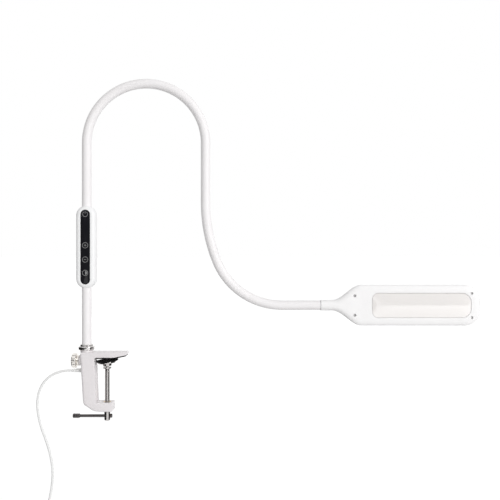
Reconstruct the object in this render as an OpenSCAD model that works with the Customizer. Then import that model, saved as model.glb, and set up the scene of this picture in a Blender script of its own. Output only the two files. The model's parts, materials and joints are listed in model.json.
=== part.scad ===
// Desk lamp on a table clamp: a mast with a touch control, a long bendable neck
// and a flat LED head. The clamp screw presses a swivel foot up at the table.
// X points from the mast towards the head, Y away from the lit side, Z up.
// The origin is on the gripping face of the table jaw, above the clamp screw.
// The neck bends anywhere along its length. It is built as seven rigid lengths
// that meet in ball shaped ends, and the head turns on a ferrule at the far end.

/* [Clamp frame] */
// Depth of the frame, front to back
clamp_d = 24; // [20:1:34]
// Screw axis to the inner face of the spine, at the lower arm
throat_d = 17; // [14:1:40]
// How much further away that face is under the jaw
throat_lean = 3; // [0:0.5:4]
// Thickness of the spine at the top
spine_t = 24; // [24:1:36]
// How far the outer face of the spine slopes in towards the bottom
spine_lean = 6; // [0:1:8]
// Outer face of the spine to the mast axis, at the top
mast_wall = 9; // [8.5:0.5:11]
// Screw axis to the tip of the table jaw
jaw_reach = 34.5; // [30:0.5:60]
// Thickness of the table jaw
jaw_t = 9; // [7:1:14]
// Thickness of the jaw at its tip
jaw_tip_t = 4.5; // [3:0.5:6]
// Length of the sloping stretch at the tip
jaw_slope_l = 22; // [10:1:26]
// Thickness of the rubber liner under the jaw
liner_t = 2; // [1:0.5:3]
// Clear height between liner and lower arm
throat_h = 74; // [64:1:110]
// Thickness of the lower arm
arm_t = 15; // [12:1:20]
// Screw axis to the end of the lower arm
arm_reach = 10.5; // [9:0.5:20]
// Height of the heel, the slanted corner at the foot of the spine
heel_rise = 12.5; // [8:0.5:16]
// Length of the heel along the underside of the lower arm
heel_run = 18; // [12:1:20]
// Radius where the heel leaves the spine
heel_r = 9; // [2:1:9]
// Radius where the heel meets the underside
sole_r = 24; // [4:1:24]
// Height of the round boss under the mast collar
boss_h = 3; // [1:0.5:6]
// Diameter of that boss
boss_d = 21; // [16:1:24]

/* [Clamp screw] */
// Diameter of the screw
screw_d = 8; // [6:1:10]
// Outer diameter of the brass bush in the arm
bush_d = 13; // [12:0.5:15]
// Diameter of the turned hub that carries the bar
hub_d = 10; // [10:0.5:16]
// Height of the hub
hub_h = 17; // [13:1:24]
// Diameter of the sliding bar
bar_d = 5; // [4:0.5:6]
// Length of the bar between its end caps
bar_l = 52; // [40:1:80]
// Diameter of the long cap at the handle end
handle_d = 7.6; // [6.5:0.1:9]
// Length of that cap
handle_l = 11.5; // [8:0.5:16]
// Length of the short cap at the other end
stop_l = 3.2; // [2:0.1:6]
// Diameter of the ball at the top of the screw
ball_d = 9; // [8.5:0.5:11]
// Thickness of the washer under the foot
washer_t = 2; // [1:0.5:3]
// Diameter of that washer
washer_d = 14; // [10:1:18]

/* [Swivel foot] */
// Diameter of the rubber pad
pad_d = 38; // [32:1:42]
// Thickness of the pad
pad_t = 2.5; // [2:0.5:5]
// Diameter of the metal cup under the pad
cup_d = 30; // [20:1:32]
// Thickness of the cup's plate
cup_t = 2.5; // [1.5:0.5:4]
// Ball centre to the underside of the cup's plate
cup_rise = 1.5; // [1:0.5:3]
// Tilt of the foot at rest, raised at the jaw tip side
pad_tilt = 5; // [0:0.5:10]
// Clearance between liner and pad at rest
pad_gap = 1.5; // [1:0.1:8]

/* [Lock screw] */
// Top of the jaw to the axis of the lock screw
lock_drop = 15; // [13:1:18]
// Diameter of the fluted knob
knob_d = 25; // [18:1:26]
// Length of the fluted knob
knob_l = 8; // [7:1:14]
// Diameter of the knob's shoulder
shoulder_d = 18; // [12:1:20]
// Length of that shoulder
shoulder_l = 4; // [2:0.1:7]
// Number of flutes
flutes = 16; // [8:1:24]
// Radius of a flute
flute_r = 1.5; // [1:0.1:2]
// Diameter of the threaded stud
stud_d = 6; // [5:1:6]
// Height of the round boss around the stud
lock_boss_h = 3.4; // [2:0.2:5]
// Diameter of that boss
lock_boss_d = 17; // [10:1:18]

/* [Mast] */
// Diameter of the pin that turns in the clamp
pin_d = 10; // [9:0.5:11]
// Depth of the pin below the top of the jaw
pin_depth = 27; // [22:1:28]
// Depth of the bore for the pin
bore_depth = 37; // [36:1:44]
// Wall of the mast tube
tube_wall = 1.5; // [1:0.1:2]
// Length of the pin inside the mast tube
pin_tail = 25; // [12:1:40]
// Diameter of the collar
collar_d = 27; // [20:1:28]
// Height of the collar
collar_h = 6; // [4:0.5:10]
// Diameter of the ring on the collar
nut_d = 21; // [17:0.5:22]
// Height of that ring
nut_h = 3.5; // [2:0.5:7]
// Clear height of mast between collar and control housing
mast_h = 95; // [40:1:200]

/* [Control housing] */
// Width of the housing
box_w = 33; // [30:1:44]
// Height of the housing
box_h = 139.5; // [138:0.5:180]
// Depth of the housing, front to back
box_d = 22; // [22:0.5:30]
// Wall of the housing
box_wall = 2; // [1.5:0.1:2.4]
// Rounding of its long edges
box_edge_r = 6; // [4:0.5:8]
// Width of the glossy touch panel
panel_w = 16; // [14:0.5:17]
// End of the panel to the end of the housing
panel_end = 6.75; // [5:0.25:8]
// Thickness of the panel
panel_t = 1.2; // [0.8:0.1:1.4]
// How far the panel stands proud of the housing
panel_proud = 0.2; // [0:0.1:0.5]
// Width of the circuit board
board_w = 14; // [12:0.5:15]
// Thickness of the circuit board
board_t = 1.2; // [0.8:0.1:1.4]
// Upper end of the panel to the on and off field
power_in = 7.5; // [6.5:0.5:16]
// Lower end of the panel to the colour field
colour_in = 19.5; // [8:0.5:22]
// Colour field to the dimmer field
dimmer_step = 22.5; // [13:0.5:24]
// Dimmer field to the brighter field
brighter_step = 24; // [13:0.5:26]
// Diameter of the contact spring behind a touch field
spring_d = 4; // [3:0.5:4]

/* [Neck] */
// Outer diameter of the silicone sleeve
sleeve_d = 16; // [15:0.5:20]
// Wall of the sleeve
sleeve_t = 2; // [1.5:0.1:2.2]
// Bore of the wound steel core
core_bore = 6.4; // [5.5:0.1:7]
// Diameter of the cable inside
cable_d = 4.5; // [3:0.1:5]
// Straight rise from the housing to the arch
rise = 107; // [90:1:200]
// Radius of the arch
arch_r = 101; // [80:1:150]
// Straight drop after the arch
drop = 101; // [60:1:160]
// Radius of the wide curve towards the head
sweep_r = 267; // [150:1:400]
// Turn of that curve, in degrees
sweep_a = 22; // [10:1:40]
// Radius of the closer curve that follows
bend_r = 119; // [80:1:160]
// Straight run to the head
run_out = 66; // [50:1:120]
// Clearance around the ball shaped ends
bend_gap = 0.5; // [0.4:0.1:1]

/* [Head] */
// Length of the head from its seam to its end
head_l = 270; // [255:1:400]
// Height of the flat body
head_h = 69; // [64:1:90]
// Thickness of the flat body
head_t = 15; // [14:0.5:17]
// Diameter of the round stem
stem_d = 18; // [17:0.5:22]
// Length of the stem before it flares
stem_l = 19; // [12:0.5:24]
// Length of the flare
flare_l = 50; // [40:1:80]
// Corner radius of the far end
end_r = 26; // [18:1:30]
// Wall of the shells
head_wall = 2; // [1.5:0.1:2.2]
// Rounding of the long edges
head_edge_r = 5; // [3:0.5:5.5]
// Length of the light window
window_l = 167; // [120:1:168]
// Height of the light window
window_h = 41.5; // [36:0.5:44]
// Corner radius of the window at its near end
window_near_r = 10; // [8:0.5:14]
// Corner radius of the window at its far end
window_far_r = 15; // [11:0.5:16]
// Window to the far end of the head
window_end = 16.5; // [15:0.5:24]
// How far the lens bulges out of the window
lens_rise = 2.5; // [1:0.1:4]
// Distance of the near screws from the far end
near_screw_x = 213; // [205:1:214]
// Distance of the near screws from the axis
near_screw_z = 16.4; // [14:0.1:18]
// Distance of the far screws from the far end
far_screw_x = 15; // [13:0.5:15]
// Distance of the far screws from the axis
far_screw_z = 20.6; // [20:0.1:21.5]
// Number of light chips along the board
chip_columns = 20; // [6:1:30]

/* [Lead] */
// Diameter of the power lead
lead_d = 4; // [3:0.1:4]
// Top of the jaw to the axis of the lead's hole
lead_drop = 32; // [31:0.5:34]
// Length of the strain relief outside the clamp
boot_l = 18; // [12:0.5:18]
// Diameter of the connector
plug_d = 9.5; // [8:0.1:12]
// Length of the connector
plug_l = 27; // [20:1:34]

/* [Hidden] */
$fn = 64;

// Clearances
slip = 0.1;       // between parts that stay together
run_fit = 0.05;   // radial, between a shaft and its bore
turn_gap = 0.3;   // between faces that turn past each other
thread_gap = 0.6; // under a screw head that can still be tightened
over = 1;         // how far a cut reaches past the face it opens

// Clamp frame
spine_in = -throat_d;
throat_back = spine_in - throat_lean;
spine_out = throat_back - spine_t;
mast_x = spine_out + mast_wall;
jaw_top = liner_t + jaw_t;
arm_top = -throat_h;
arm_low = arm_top - arm_t;
heel_x = spine_out + spine_lean;
heel_z = arm_low + heel_rise;
boss_top = jaw_top + boss_h;
groove_r = pad_d / 2 + 1.7;     // hollow in the spine that clears the tilted pad
slope_x = jaw_reach - jaw_slope_l;
tip_under = jaw_top - jaw_tip_t;
throat_r = 3;
liner_inset = 1;
mast_bore_r = pin_d / 2 + run_fit;

// Clamp screw and foot
hub_top = arm_low - thread_gap;
bar_z = hub_top - hub_h / 2;
bar_x1 = hub_d / 2 + turn_gap;
bar_x0 = bar_x1 - bar_l;
cap_seat = 2;
foot_top = cup_rise + cup_t + pad_t;
ball_z = -pad_gap - foot_top * cos(pad_tilt) - pad_d / 2 * sin(pad_tilt);
cup_socket_h = 3.5;
cup_socket_d = 15;
shank_d = 5;
washer_top = ball_z - cup_socket_h - 2;
shank_low = washer_top - washer_t;

// Lock screw
lock_z = jaw_top - lock_drop;
lock_face = wall_x(lock_z) - lock_boss_h;
shoulder_x = lock_face - thread_gap;
pad_face = mast_x - pin_d / 2 - 4 * slip;
lock_pad_l = 2;
lock_pad_d = stud_d - 1.2;

// Mast
sleeve_bore = sleeve_d - 2 * sleeve_t;
tube_d = sleeve_bore - 2 * slip;
tube_bore = tube_d - 2 * tube_wall;
pin_low = jaw_top - pin_depth;
collar_low = boss_top + turn_gap;
nut_low = collar_low + collar_h;
collar_top = nut_low + nut_h;
box_low = collar_top + mast_h;
box_mid = box_low + box_h / 2;
box_top = box_low + box_h;
seat_l = 6;    // sleeve inside the housing
grip_l = 12;   // tube inside the housing

// Control housing, with its front towards -Y
board_front = -box_d / 2 + box_wall + 1.4;
panel_back = -box_d / 2 - panel_proud + panel_t;
ledge = 2;     // rim that the panel rests on
box_screw_x = box_w / 2 - box_wall - 4;
box_screw_in = 24.75;
box_screw_z = [box_screw_in - box_h / 2, box_h / 2 - box_screw_in];
screw_post_r = 2.5;
screw_core_r = 1.1;
screw_head_r = 2.2;
screw_head_h = 1.6;
terminal_l = 10;
terminal_w = 10;
terminal_t = 10;
panel_h = box_h - 2 * panel_end;
board_h = box_h - 2 * (grip_l + slip);
colour_z = colour_in - panel_h / 2;
dimmer_z = colour_z + dimmer_step;
brighter_z = dimmer_z + brighter_step;
power_z = panel_h / 2 - power_in;
touch_z = [power_z, brighter_z, dimmer_z, colour_z];
wire_room = 8;
terminal_low = box_low + grip_l + wire_room;
terminal_high = box_top - grip_l - wire_room;

// Neck lengths: a straight one is [length, 0], a curved one is [turn, radius]
LEGS = [
    [rise, 0], [90, arch_r], [90, arch_r], [drop, 0],
    [-sweep_a, sweep_r], [sweep_a - 90, bend_r], [run_out, 0]
];
neck_count = len(LEGS);
ball_r = sleeve_d / 2 - slip;
ball_bore_r = sleeve_bore / 2 + slip;
ball_depth = 5;     // how far a ball end reaches past its centre
ball_root = 3;      // how far it is let into the wall of its sleeve
sleeve_ahead = sqrt(pow(ball_r + bend_gap, 2) - pow(ball_bore_r, 2)) + bend_gap;
core_back = 6;      // core and cable stop this far before a bending point
core_ahead = ball_r + bend_gap + 1;

// Head
head_x = neck_end(neck_count).x;
head_z = neck_end(neck_count).y;
head_end = head_x + head_l;
flare_x = head_x + stem_l;
body_x = flare_x + flare_l;
front_y = -head_t / 2;
ferrule_in = 12;    // ferrule inside the neck
ferrule_out = 20;   // ferrule inside the head
window_x = head_end - window_end - window_l / 2;
rim = 2;            // lens flange behind the window's edge
flange_t = 1.4;
lens_r = (pow(window_h / 2, 2) + pow(lens_rise, 2)) / (2 * lens_rise);
plate_y = 1.2;      // front face of the heat plate
plate_t = 2;
chip_board_t = 1;
chip_t = 0.8;
chip = [3.5, 2.8];
chip_rows = [-8, 8];
chip_edge = 12;     // window's end to the middle of the first chip

// Lead: the way from inside the clamp to the connector, seen from the boot's end
lead_z = jaw_top - lead_drop;
boot_rim_r = lead_d / 2 + 2;
boot_seat = wall_x(lead_z - boot_rim_r);
lead_root = [boot_seat - boot_l, 0, lead_z];
lead_way = [
    [20, 0, 0], [10, 0, 0], [0, 0, 0], [-14, 0, -1], [-28, 0, -5], [-41, 0, -13],
    [-51, 0, -25], [-57, 0, -40], [-59, 0, -58], [-57, 0, -78], [-52, 0, -98],
    [-45, 0, -117], [-39, 0, -136], [-35, 0, -155], [-33, 0, -174], [-34, 0, -193],
    [-37, 0, -212], [-41, 0, -231], [-44, 0, -250], [-46, 0, -269], [-46, 0, -288],
    [-46, 0, -304], [-46, 0, -320]
];
plug_top = lead_root + lead_way[len(lead_way) - 1];
wire_d = 1.9;       // contact pin
shield_d = 5.5;     // contact sleeve
shield_t = 0.3;
contact_l = 8.5;
plug_bore = shield_d + slip;
plug_taper = 9;     // conical stretch behind the lead

// ---------- shared geometry ----------

// Outer face of the leaning spine at height z
function wall_x(z) = spine_out + spine_lean * (jaw_top - z) / (jaw_top - arm_low);

function unit(v) = v / norm(v);

// Fillet of radius r at corner b between the edges to a and c
function fillet(a, b, c, r, n) =
    r == 0 ? [b] :
    let (
        u = unit(a - b),
        v = unit(c - b),
        half = acos(u * v) / 2,
        o = b + unit(u + v) * r / sin(half),
        p = b + u * r / tan(half) - o,
        q = b + v * r / tan(half) - o,
        turn = atan2(p.x * q.y - p.y * q.x, p * q),
        from = atan2(p.y, p.x)
    )
    [for (i = [0:n]) o + r * [cos(from + turn * i / n), sin(from + turn * i / n)]];

// Outline from corners [x, y, radius]
function rounded(c, n = 6) = [
    for (i = [0:len(c) - 1])
        let (a = c[(i + len(c) - 1) % len(c)], b = c[i], d = c[(i + 1) % len(c)])
            each fillet([a.x, a.y], [b.x, b.y], [d.x, d.y], b.z, n)
];

// Rounded rectangle of true arcs around the origin
module round_rect(w, h, r) {
    square([w, h - 2 * r], center = true);
    square([w - 2 * r, h], center = true);
    for (x = [-1, 1], y = [-1, 1])
        translate([x * (w / 2 - r), y * (h / 2 - r)]) circle(r);
}

module ring(outer, bore) {
    difference() {
        circle(d = outer);
        circle(d = bore);
    }
}

// Stands an XY outline up in the XZ plane, from depth y0 to y1
module upright(y0, y1) {
    translate([0, y1, 0]) rotate([90, 0, 0]) linear_extrude(y1 - y0) children();
}

// Cylinder along X from x0 to x1
module x_rod(x0, x1, d, z = 0) {
    translate([x0, 0, z]) rotate([0, 90, 0]) cylinder(h = x1 - x0, d = d);
}

// Cylinder along Y from y0 to y1
module y_rod(x, z, y0, y1, r) {
    translate([x, y1, z]) rotate([90, 0, 0]) cylinder(h = y1 - y0, r = r);
}

// Turned piece along X: the outline is [distance along X, radius]
module x_turned(x, z, points) {
    translate([x, 0, z]) rotate([0, 90, 0]) rotate_extrude()
        polygon([for (p = points) [p.y, p.x]]);
}

// ---------- neck path ----------

// Length of neck length k, counted from 1
function leg_len(k) =
    LEGS[k - 1][1] == 0 ? LEGS[k - 1][0] : abs(LEGS[k - 1][0]) * PI / 180 * LEGS[k - 1][1];

// A frame is [x, z, heading], with heading 0 up and 90 along X. This is the
// frame on neck length k at a distance t from its start, which has frame f
function along(f, k, t) =
    LEGS[k - 1][1] == 0 ? [f.x + t * sin(f.z), f.y + t * cos(f.z), f.z] :
    let (
        r = sign(LEGS[k - 1][0]) * LEGS[k - 1][1],
        h = f.z + t / r * 180 / PI
    )
    [f.x + r * (cos(f.z) - cos(h)), f.y + r * (sin(h) - sin(f.z)), h];

function neck_end(k) =
    k == 0 ? [mast_x, box_top, 0] : along(neck_end(k - 1), k, leg_len(k));

module place(f) {
    translate([f.x, 0, f.y]) rotate([0, f.z, 0]) children();
}

// Sweeps the section along neck length k, from t0 past its start to t1 short of its end
module neck_run(k, t0, t1) {
    r = LEGS[k - 1][1];
    l = leg_len(k) - t0 - t1;
    place(along(neck_end(k - 1), k, t0)) {
        if (r == 0)
            linear_extrude(l) children();
        else if (LEGS[k - 1][0] > 0)
            curved(r, l) children();
        else
            mirror([1, 0, 0]) curved(r, l) children();
    }
}

module curved(r, l) {
    translate([r, 0, 0]) rotate([90, 0, 180])
        rotate_extrude(angle = l / r * 180 / PI) translate([r, 0]) children();
}

// ---------- clamp ----------

module clamp_outline() {
    polygon(rounded([
        [spine_out, jaw_top, 4],
        [jaw_reach, jaw_top, 1.5],
        [jaw_reach, tip_under, 1],
        [slope_x, liner_t, 0],
        [throat_back, liner_t, throat_r],
        [spine_in, arm_top, throat_r],
        [arm_reach, arm_top, 1],
        [arm_reach, arm_low, 2],
        [heel_x + heel_run, arm_low, sole_r],
        [wall_x(heel_z), heel_z, heel_r]
    ]));
}

module clamp_body() {
    color("gainsboro") difference() {
        union() {
            upright(-clamp_d / 2, clamp_d / 2) clamp_outline();
            translate([mast_x, 0, jaw_top - over]) cylinder(h = boss_h + over, d = boss_d);
            x_rod(lock_face, heel_x, lock_boss_d, lock_z);
        }
        translate([mast_x, 0, jaw_top - bore_depth])
            cylinder(h = bore_depth + boss_h + over, r = mast_bore_r);
        x_rod(lock_face - over, mast_x, stud_d + 2 * run_fit, lock_z);
        x_rod(spine_out - over, mast_x, lead_d + 2, lead_z);
        x_rod(spine_out - over, boot_seat, 2 * (boot_rim_r + slip), lead_z);
        translate([0, 0, arm_top]) cylinder(h = throat_h + liner_t, r = groove_r);
        translate([0, 0, arm_low - over]) cylinder(h = arm_t + 2 * over, d = bush_d);
    }
}

module jaw_liner() {
    x0 = throat_back + throat_r + 1;
    x1 = jaw_reach - 1.5;
    rise_at_x1 = (tip_under - liner_t) * (x1 - slope_x) / jaw_slope_l;
    color("#202020") upright(-clamp_d / 2 + liner_inset, clamp_d / 2 - liner_inset)
        polygon([
            [x0, 0], [slope_x, 0], [x1, rise_at_x1],
            [x1, liner_t + rise_at_x1], [slope_x, liner_t], [x0, liner_t]
        ]);
}

module screw_bush() {
    color("goldenrod") translate([0, 0, arm_low]) linear_extrude(arm_t)
        ring(bush_d, screw_d + 2 * run_fit);
}

module clamp_screw() {
    dome = 3;
    color("silver") difference() {
        union() {
            translate([0, 0, hub_top]) cylinder(h = shank_low - hub_top, d = screw_d);
            translate([0, 0, shank_low - over]) cylinder(h = ball_z - shank_low + over, d = shank_d);
            translate([0, 0, ball_z]) sphere(d = ball_d);
            rotate_extrude() difference() {
                union() {
                    translate([0, hub_top - hub_h + dome]) square([hub_d / 2, hub_h - dome]);
                    translate([0, hub_top - hub_h]) square([hub_d / 2 - dome, dome + over]);
                    translate([hub_d / 2 - dome, hub_top - hub_h + dome]) circle(dome);
                }
                translate([-hub_d, hub_top - 2 * hub_h]) square([hub_d, 3 * hub_h]);
            }
        }
        x_rod(-hub_d, hub_d, bar_d + 2 * run_fit, bar_z);
    }
}

module tommy_bar() {
    color("dimgray") x_rod(bar_x0 - cap_seat, bar_x1 + cap_seat, bar_d, bar_z);
}

module bar_caps() {
    color("dimgray") {
        x_turned(bar_x0, bar_z, [
            [0, bar_d / 2], [0, handle_d / 2 - 0.6], [-0.6, handle_d / 2],
            [-handle_l + 0.6, handle_d / 2], [-handle_l, handle_d / 2 - 0.6],
            [-handle_l, 0], [-cap_seat, 0], [-cap_seat, bar_d / 2]
        ]);
        x_turned(bar_x1, bar_z, [
            [0, bar_d / 2], [0, handle_d / 2 - 0.4], [stop_l - 0.6, handle_d / 2 - 0.4],
            [stop_l, handle_d / 2 - 1], [stop_l, 0], [cap_seat, 0], [cap_seat, bar_d / 2]
        ]);
    }
}

module thrust_washer() {
    color("silver") translate([0, 0, shank_low]) linear_extrude(washer_t)
        ring(washer_d, shank_d + 2 * run_fit);
}

// The foot's own frame has its origin at the ball centre
module foot_frame() {
    translate([0, 0, ball_z]) rotate([0, -pad_tilt, 0]) children();
}

module foot_cup() {
    color("silver") foot_frame() difference() {
        union() {
            translate([0, 0, cup_rise]) cylinder(h = cup_t, d = cup_d);
            translate([0, 0, -cup_socket_h])
                cylinder(h = cup_socket_h + cup_rise + over, d = cup_socket_d);
        }
        sphere(r = ball_d / 2 + slip);
        translate([0, 0, -cup_socket_h - over]) cylinder(h = cup_socket_h, d = ball_d - 1);
        cylinder(h = cup_rise + cup_t + over, r = ball_d / 2 - 0.8);
    }
}

module foot_pad() {
    edge = 0.8;
    dimple_r = ball_d / 3;      // room for the top of the ball
    color("#202020") foot_frame() translate([0, 0, cup_rise + cup_t]) rotate_extrude()
        polygon([
            [0, edge], [dimple_r, edge], [dimple_r, 0], [pad_d / 2 - 2 * edge, 0],
            [pad_d / 2, edge], [pad_d / 2, pad_t], [0, pad_t]
        ]);
}

module lock_pad() {
    color("goldenrod") x_rod(pad_face - lock_pad_l, pad_face, lock_pad_d, lock_z);
}

module lock_knob() {
    color("whitesmoke") {
        x_rod(shoulder_x - over, pad_face - lock_pad_l - slip, stud_d, lock_z);
        difference() {
            x_turned(shoulder_x, lock_z, [
                [0, 0], [0, shoulder_d / 2], [-shoulder_l, shoulder_d / 2],
                [-shoulder_l, knob_d / 2 - 1], [-shoulder_l - 1, knob_d / 2],
                [-shoulder_l - knob_l + 1, knob_d / 2],
                [-shoulder_l - knob_l, knob_d / 2 - 1], [-shoulder_l - knob_l, 0]
            ]);
            for (i = [0:flutes - 1])
                translate([0, 0, lock_z]) rotate([i * 360 / flutes, 0, 0])
                    x_rod(shoulder_x - shoulder_l - knob_l - over, shoulder_x - shoulder_l + slip,
                          2 * flute_r, knob_d / 2 + flute_r / 2);
        }
    }
}

// ---------- mast ----------

module mast_pin() {
    bore = cable_d + 0.5;
    color("silver") translate([mast_x, 0, 0]) {
        translate([0, 0, pin_low]) linear_extrude(collar_low - pin_low) ring(pin_d, bore);
        translate([0, 0, collar_low]) linear_extrude(pin_tail)
            ring(tube_bore - 2 * slip, bore);
    }
}

module collar(low, h, d) {
    edge = 0.7;
    translate([mast_x, 0, low]) rotate_extrude() polygon([
        [tube_d / 2 + slip, 0], [d / 2 - edge, 0], [d / 2, edge], [d / 2, h - edge],
        [d / 2 - edge, h], [tube_d / 2 + slip, h]
    ]);
}

module collar_ring() {
    color("silver") collar(collar_low, collar_h, collar_d);
}

module collar_nut() {
    color("silver") collar(nut_low, nut_h, nut_d);
}

module mast_tube() {
    color("silver") translate([mast_x, 0, collar_low])
        linear_extrude(box_low + grip_l - collar_low) ring(tube_d, tube_bore);
}

module mast_sleeve() {
    color("white") translate([mast_x, 0, collar_top])
        linear_extrude(box_low + seat_l - collar_top) ring(sleeve_d, sleeve_bore);
}

module mast_cable() {
    color("lightgray") translate([mast_x, 0, pin_low + 1])
        cylinder(h = terminal_low - pin_low - 1, d = cable_d);
}

// ---------- control housing ----------

// Everything of the control is drawn around the mast axis at mid height
module at_box() {
    translate([mast_x, 0, box_mid]) children();
}

module box_form(inset) {
    w = box_w - 2 * inset;
    d = box_d - 2 * inset;
    h = box_h - 2 * inset;
    r = box_edge_r - inset;
    intersection() {
        upright(-d / 2, d / 2) round_rect(w, h, w / 2 - 0.01);
        linear_extrude(h, center = true) round_rect(w, d, r);
        rotate([90, 0, 90]) linear_extrude(w, center = true) round_rect(d, h, r);
    }
}

module box_shell() {
    difference() {
        union() {
            difference() {
                box_form(0);
                box_form(box_wall);
            }
            intersection() {
                box_form(box_wall / 2);
                for (s = [-1, 1]) {
                    translate([0, 0, s * (box_h / 2 - (seat_l + grip_l) / 2)])
                        cylinder(h = grip_l - seat_l - 2 * slip, r = sleeve_d / 2 + 2, center = true);
                    for (z = box_screw_z)
                        y_rod(s * box_screw_x, z, -box_d / 2, box_d / 2, screw_post_r);
                }
            }
        }
        cylinder(h = box_h + over, d = tube_d + 2 * slip, center = true);
        for (s = [-1, 1])
            translate([0, 0, s * (box_h / 2 - seat_l / 2 + slip / 2)])
                cylinder(h = seat_l + slip + over, d = sleeve_d + 2 * slip, center = true);
    }
}

module half_space(side) {
    big = 2 * box_h;
    translate([-big / 2, side > 0 ? 0 : -big, -big / 2]) cube(big);
}

module control_back() {
    color("white") at_box() difference() {
        intersection() {
            box_shell();
            half_space(1);
        }
        for (x = [-1, 1], z = box_screw_z) {
            y_rod(x * box_screw_x, z, -over, box_d, screw_core_r + slip);
            y_rod(x * box_screw_x, z, box_d / 2 - 2 * screw_head_h, box_d, screw_head_r + slip);
        }
    }
}

module control_front() {
    color("white") at_box() difference() {
        intersection() {
            box_shell();
            half_space(-1);
        }
        upright(-box_d, panel_back) panel_outline(slip);
        upright(-box_d, 0) panel_outline(-ledge);
        for (x = [-1, 1], z = box_screw_z)
            y_rod(x * box_screw_x, z, -box_d / 4, over, screw_core_r);
    }
}

module panel_outline(grow) {
    w = panel_w + 2 * grow;
    h = panel_h + 2 * grow;
    square([w, h - w], center = true);
    for (s = [-1, 1])
        translate([0, s * (h - w) / 2]) circle(d = w);
}

module touch_panel() {
    color("#101010") at_box() upright(panel_back - panel_t, panel_back) panel_outline(0);
}

module control_board() {
    color("seagreen") at_box() upright(board_front, board_front + board_t)
        square([board_w, board_h], center = true);
}

module touch_springs() {
    color("silver") at_box() for (z = touch_z)
        y_rod(0, z, panel_back, board_front, spring_d / 2);
}

// Block on the back of the board, w wide, h high and t thick, standing at height z
module board_block(w, h, t, z) {
    translate([-w / 2, board_front + board_t, z]) cube([w, t, h]);
}

module board_can(r, t, z) {
    y_rod(0, z, board_front + board_t, board_front + board_t + t, r);
}

module board_parts() {
    coil_r = 4.5;
    coil_up = 15;
    capacitor_r = 3.5;
    capacitor_up = 3;
    can_t = 5;
    driver_w = 8;
    driver_h = 12;
    driver_up = 7;
    timer_side = 6;
    timer_down = 9;
    case_t = 1.5;
    color("dimgray") {
        translate([mast_x, 0, 0]) for (z = [terminal_low, terminal_high - terminal_l])
            board_block(terminal_w, terminal_l, terminal_t, z);
        at_box() {
            board_can(coil_r, can_t, brighter_z + coil_up);
            board_can(capacitor_r, can_t, brighter_z + capacitor_up);
            board_block(driver_w, driver_h, case_t, dimmer_z + driver_up);
            board_block(timer_side, timer_side, case_t, dimmer_z - timer_down);
        }
    }
}

module control_screws() {
    color("dimgray") at_box() for (x = [-1, 1], z = box_screw_z) {
        y_rod(x * box_screw_x, z, -box_d / 4 + over, box_d / 2 - 2 * screw_head_h, screw_core_r);
        y_rod(x * box_screw_x, z, box_d / 2 - 2 * screw_head_h, box_d / 2 - screw_head_h,
              screw_head_r);
    }
}

// ---------- neck ----------

module neck_sleeve(k) {
    color("white") {
        neck_run(k, k == 1 ? -seat_l : sleeve_ahead, k == neck_count ? turn_gap : 0)
            ring(sleeve_d, sleeve_bore);
        if (k < neck_count) place(neck_end(k)) ball_end();
    }
}

// Half ball shell with a hole in its crown, and a root inside the sleeve's wall
module ball_end() {
    rotate_extrude() {
        intersection() {
            ring(2 * ball_r, 2 * ball_bore_r);
            square([ball_r, ball_depth]);
        }
        translate([ball_bore_r, -ball_root]) square([ball_r - ball_bore_r, ball_root + slip]);
    }
}

// Core and cable stop short of the bending points
module neck_inner(k) {
    neck_run(k, k == 1 ? -grip_l : core_ahead, k == neck_count ? ferrule_in + 1 : core_back)
        children();
}

module neck_core(k) {
    color("gray") neck_inner(k) ring(tube_d, core_bore);
}

module neck_cable(k) {
    color("lightgray") {
        neck_inner(k) circle(d = cable_d);
        if (k == 1)
            translate([mast_x, 0, terminal_high])
                cylinder(h = box_top - grip_l - terminal_high, d = cable_d);
    }
}

// ---------- head ----------

// Half height of the head at a share t of the flare
function flare_z(t, inset) =
    stem_d / 2 + (head_h - stem_d) / 2 * (1 - cos(180 * t)) / 2 - inset;

function end_arc(side, inset) = [
    for (i = [0:8]) let (a = side * (90 - i * 90 / 8))
        [head_end - end_r + (end_r - inset) * cos(a),
         side * (head_h / 2 - end_r) + (end_r - inset) * sin(a)]
];

function head_outline(inset) = concat(
    [for (i = [0:12]) [flare_x + flare_l * i / 12, flare_z(i / 12, inset)]],
    end_arc(1, inset),
    [for (i = [8:-1:0]) end_arc(-1, inset)[i]],
    [for (i = [12:-1:0]) [flare_x + flare_l * i / 12, -flare_z(i / 12, inset)]]
);

module at_head() {
    translate([0, 0, head_z]) children();
}

module head_form(inset) {
    t = head_t - 2 * inset;
    r = head_edge_r - inset;
    intersection() {
        upright(-t / 2, t / 2) polygon(head_outline(inset));
        translate([flare_x, 0, 0]) rotate([90, 0, 90]) linear_extrude(head_l)
            round_rect(t, head_h - 2 * inset, r);
        linear_extrude(head_h, center = true) union() {
            translate([flare_x, -t / 2]) square([head_end - inset - r - flare_x, t]);
            translate([head_end - inset - 3 * r, 0]) round_rect(6 * r, t, r);
        }
    }
}

module head_shell() {
    difference() {
        union() {
            difference() {
                union() {
                    head_form(0);
                    x_rod(head_x, flare_x + flare_l / 4, stem_d);
                }
                head_form(head_wall);
            }
            intersection() {
                head_form(head_wall / 2);
                for (z = [-1, 1]) {
                    y_rod(head_end - near_screw_x, z * near_screw_z, front_y, -front_y,
                          screw_post_r);
                    y_rod(head_end - far_screw_x, z * far_screw_z, front_y, -front_y,
                          screw_post_r);
                }
            }
        }
        x_rod(head_x - over, head_x + ferrule_out, tube_d + 2 * slip);
        x_rod(head_x, body_x, cable_d + 1);
    }
}

module head_half(side) {
    big = head_l + 2 * over;
    intersection() {
        head_shell();
        translate([head_x - over, side > 0 ? 0 : -big, -big / 2]) cube(big);
    }
}

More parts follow.
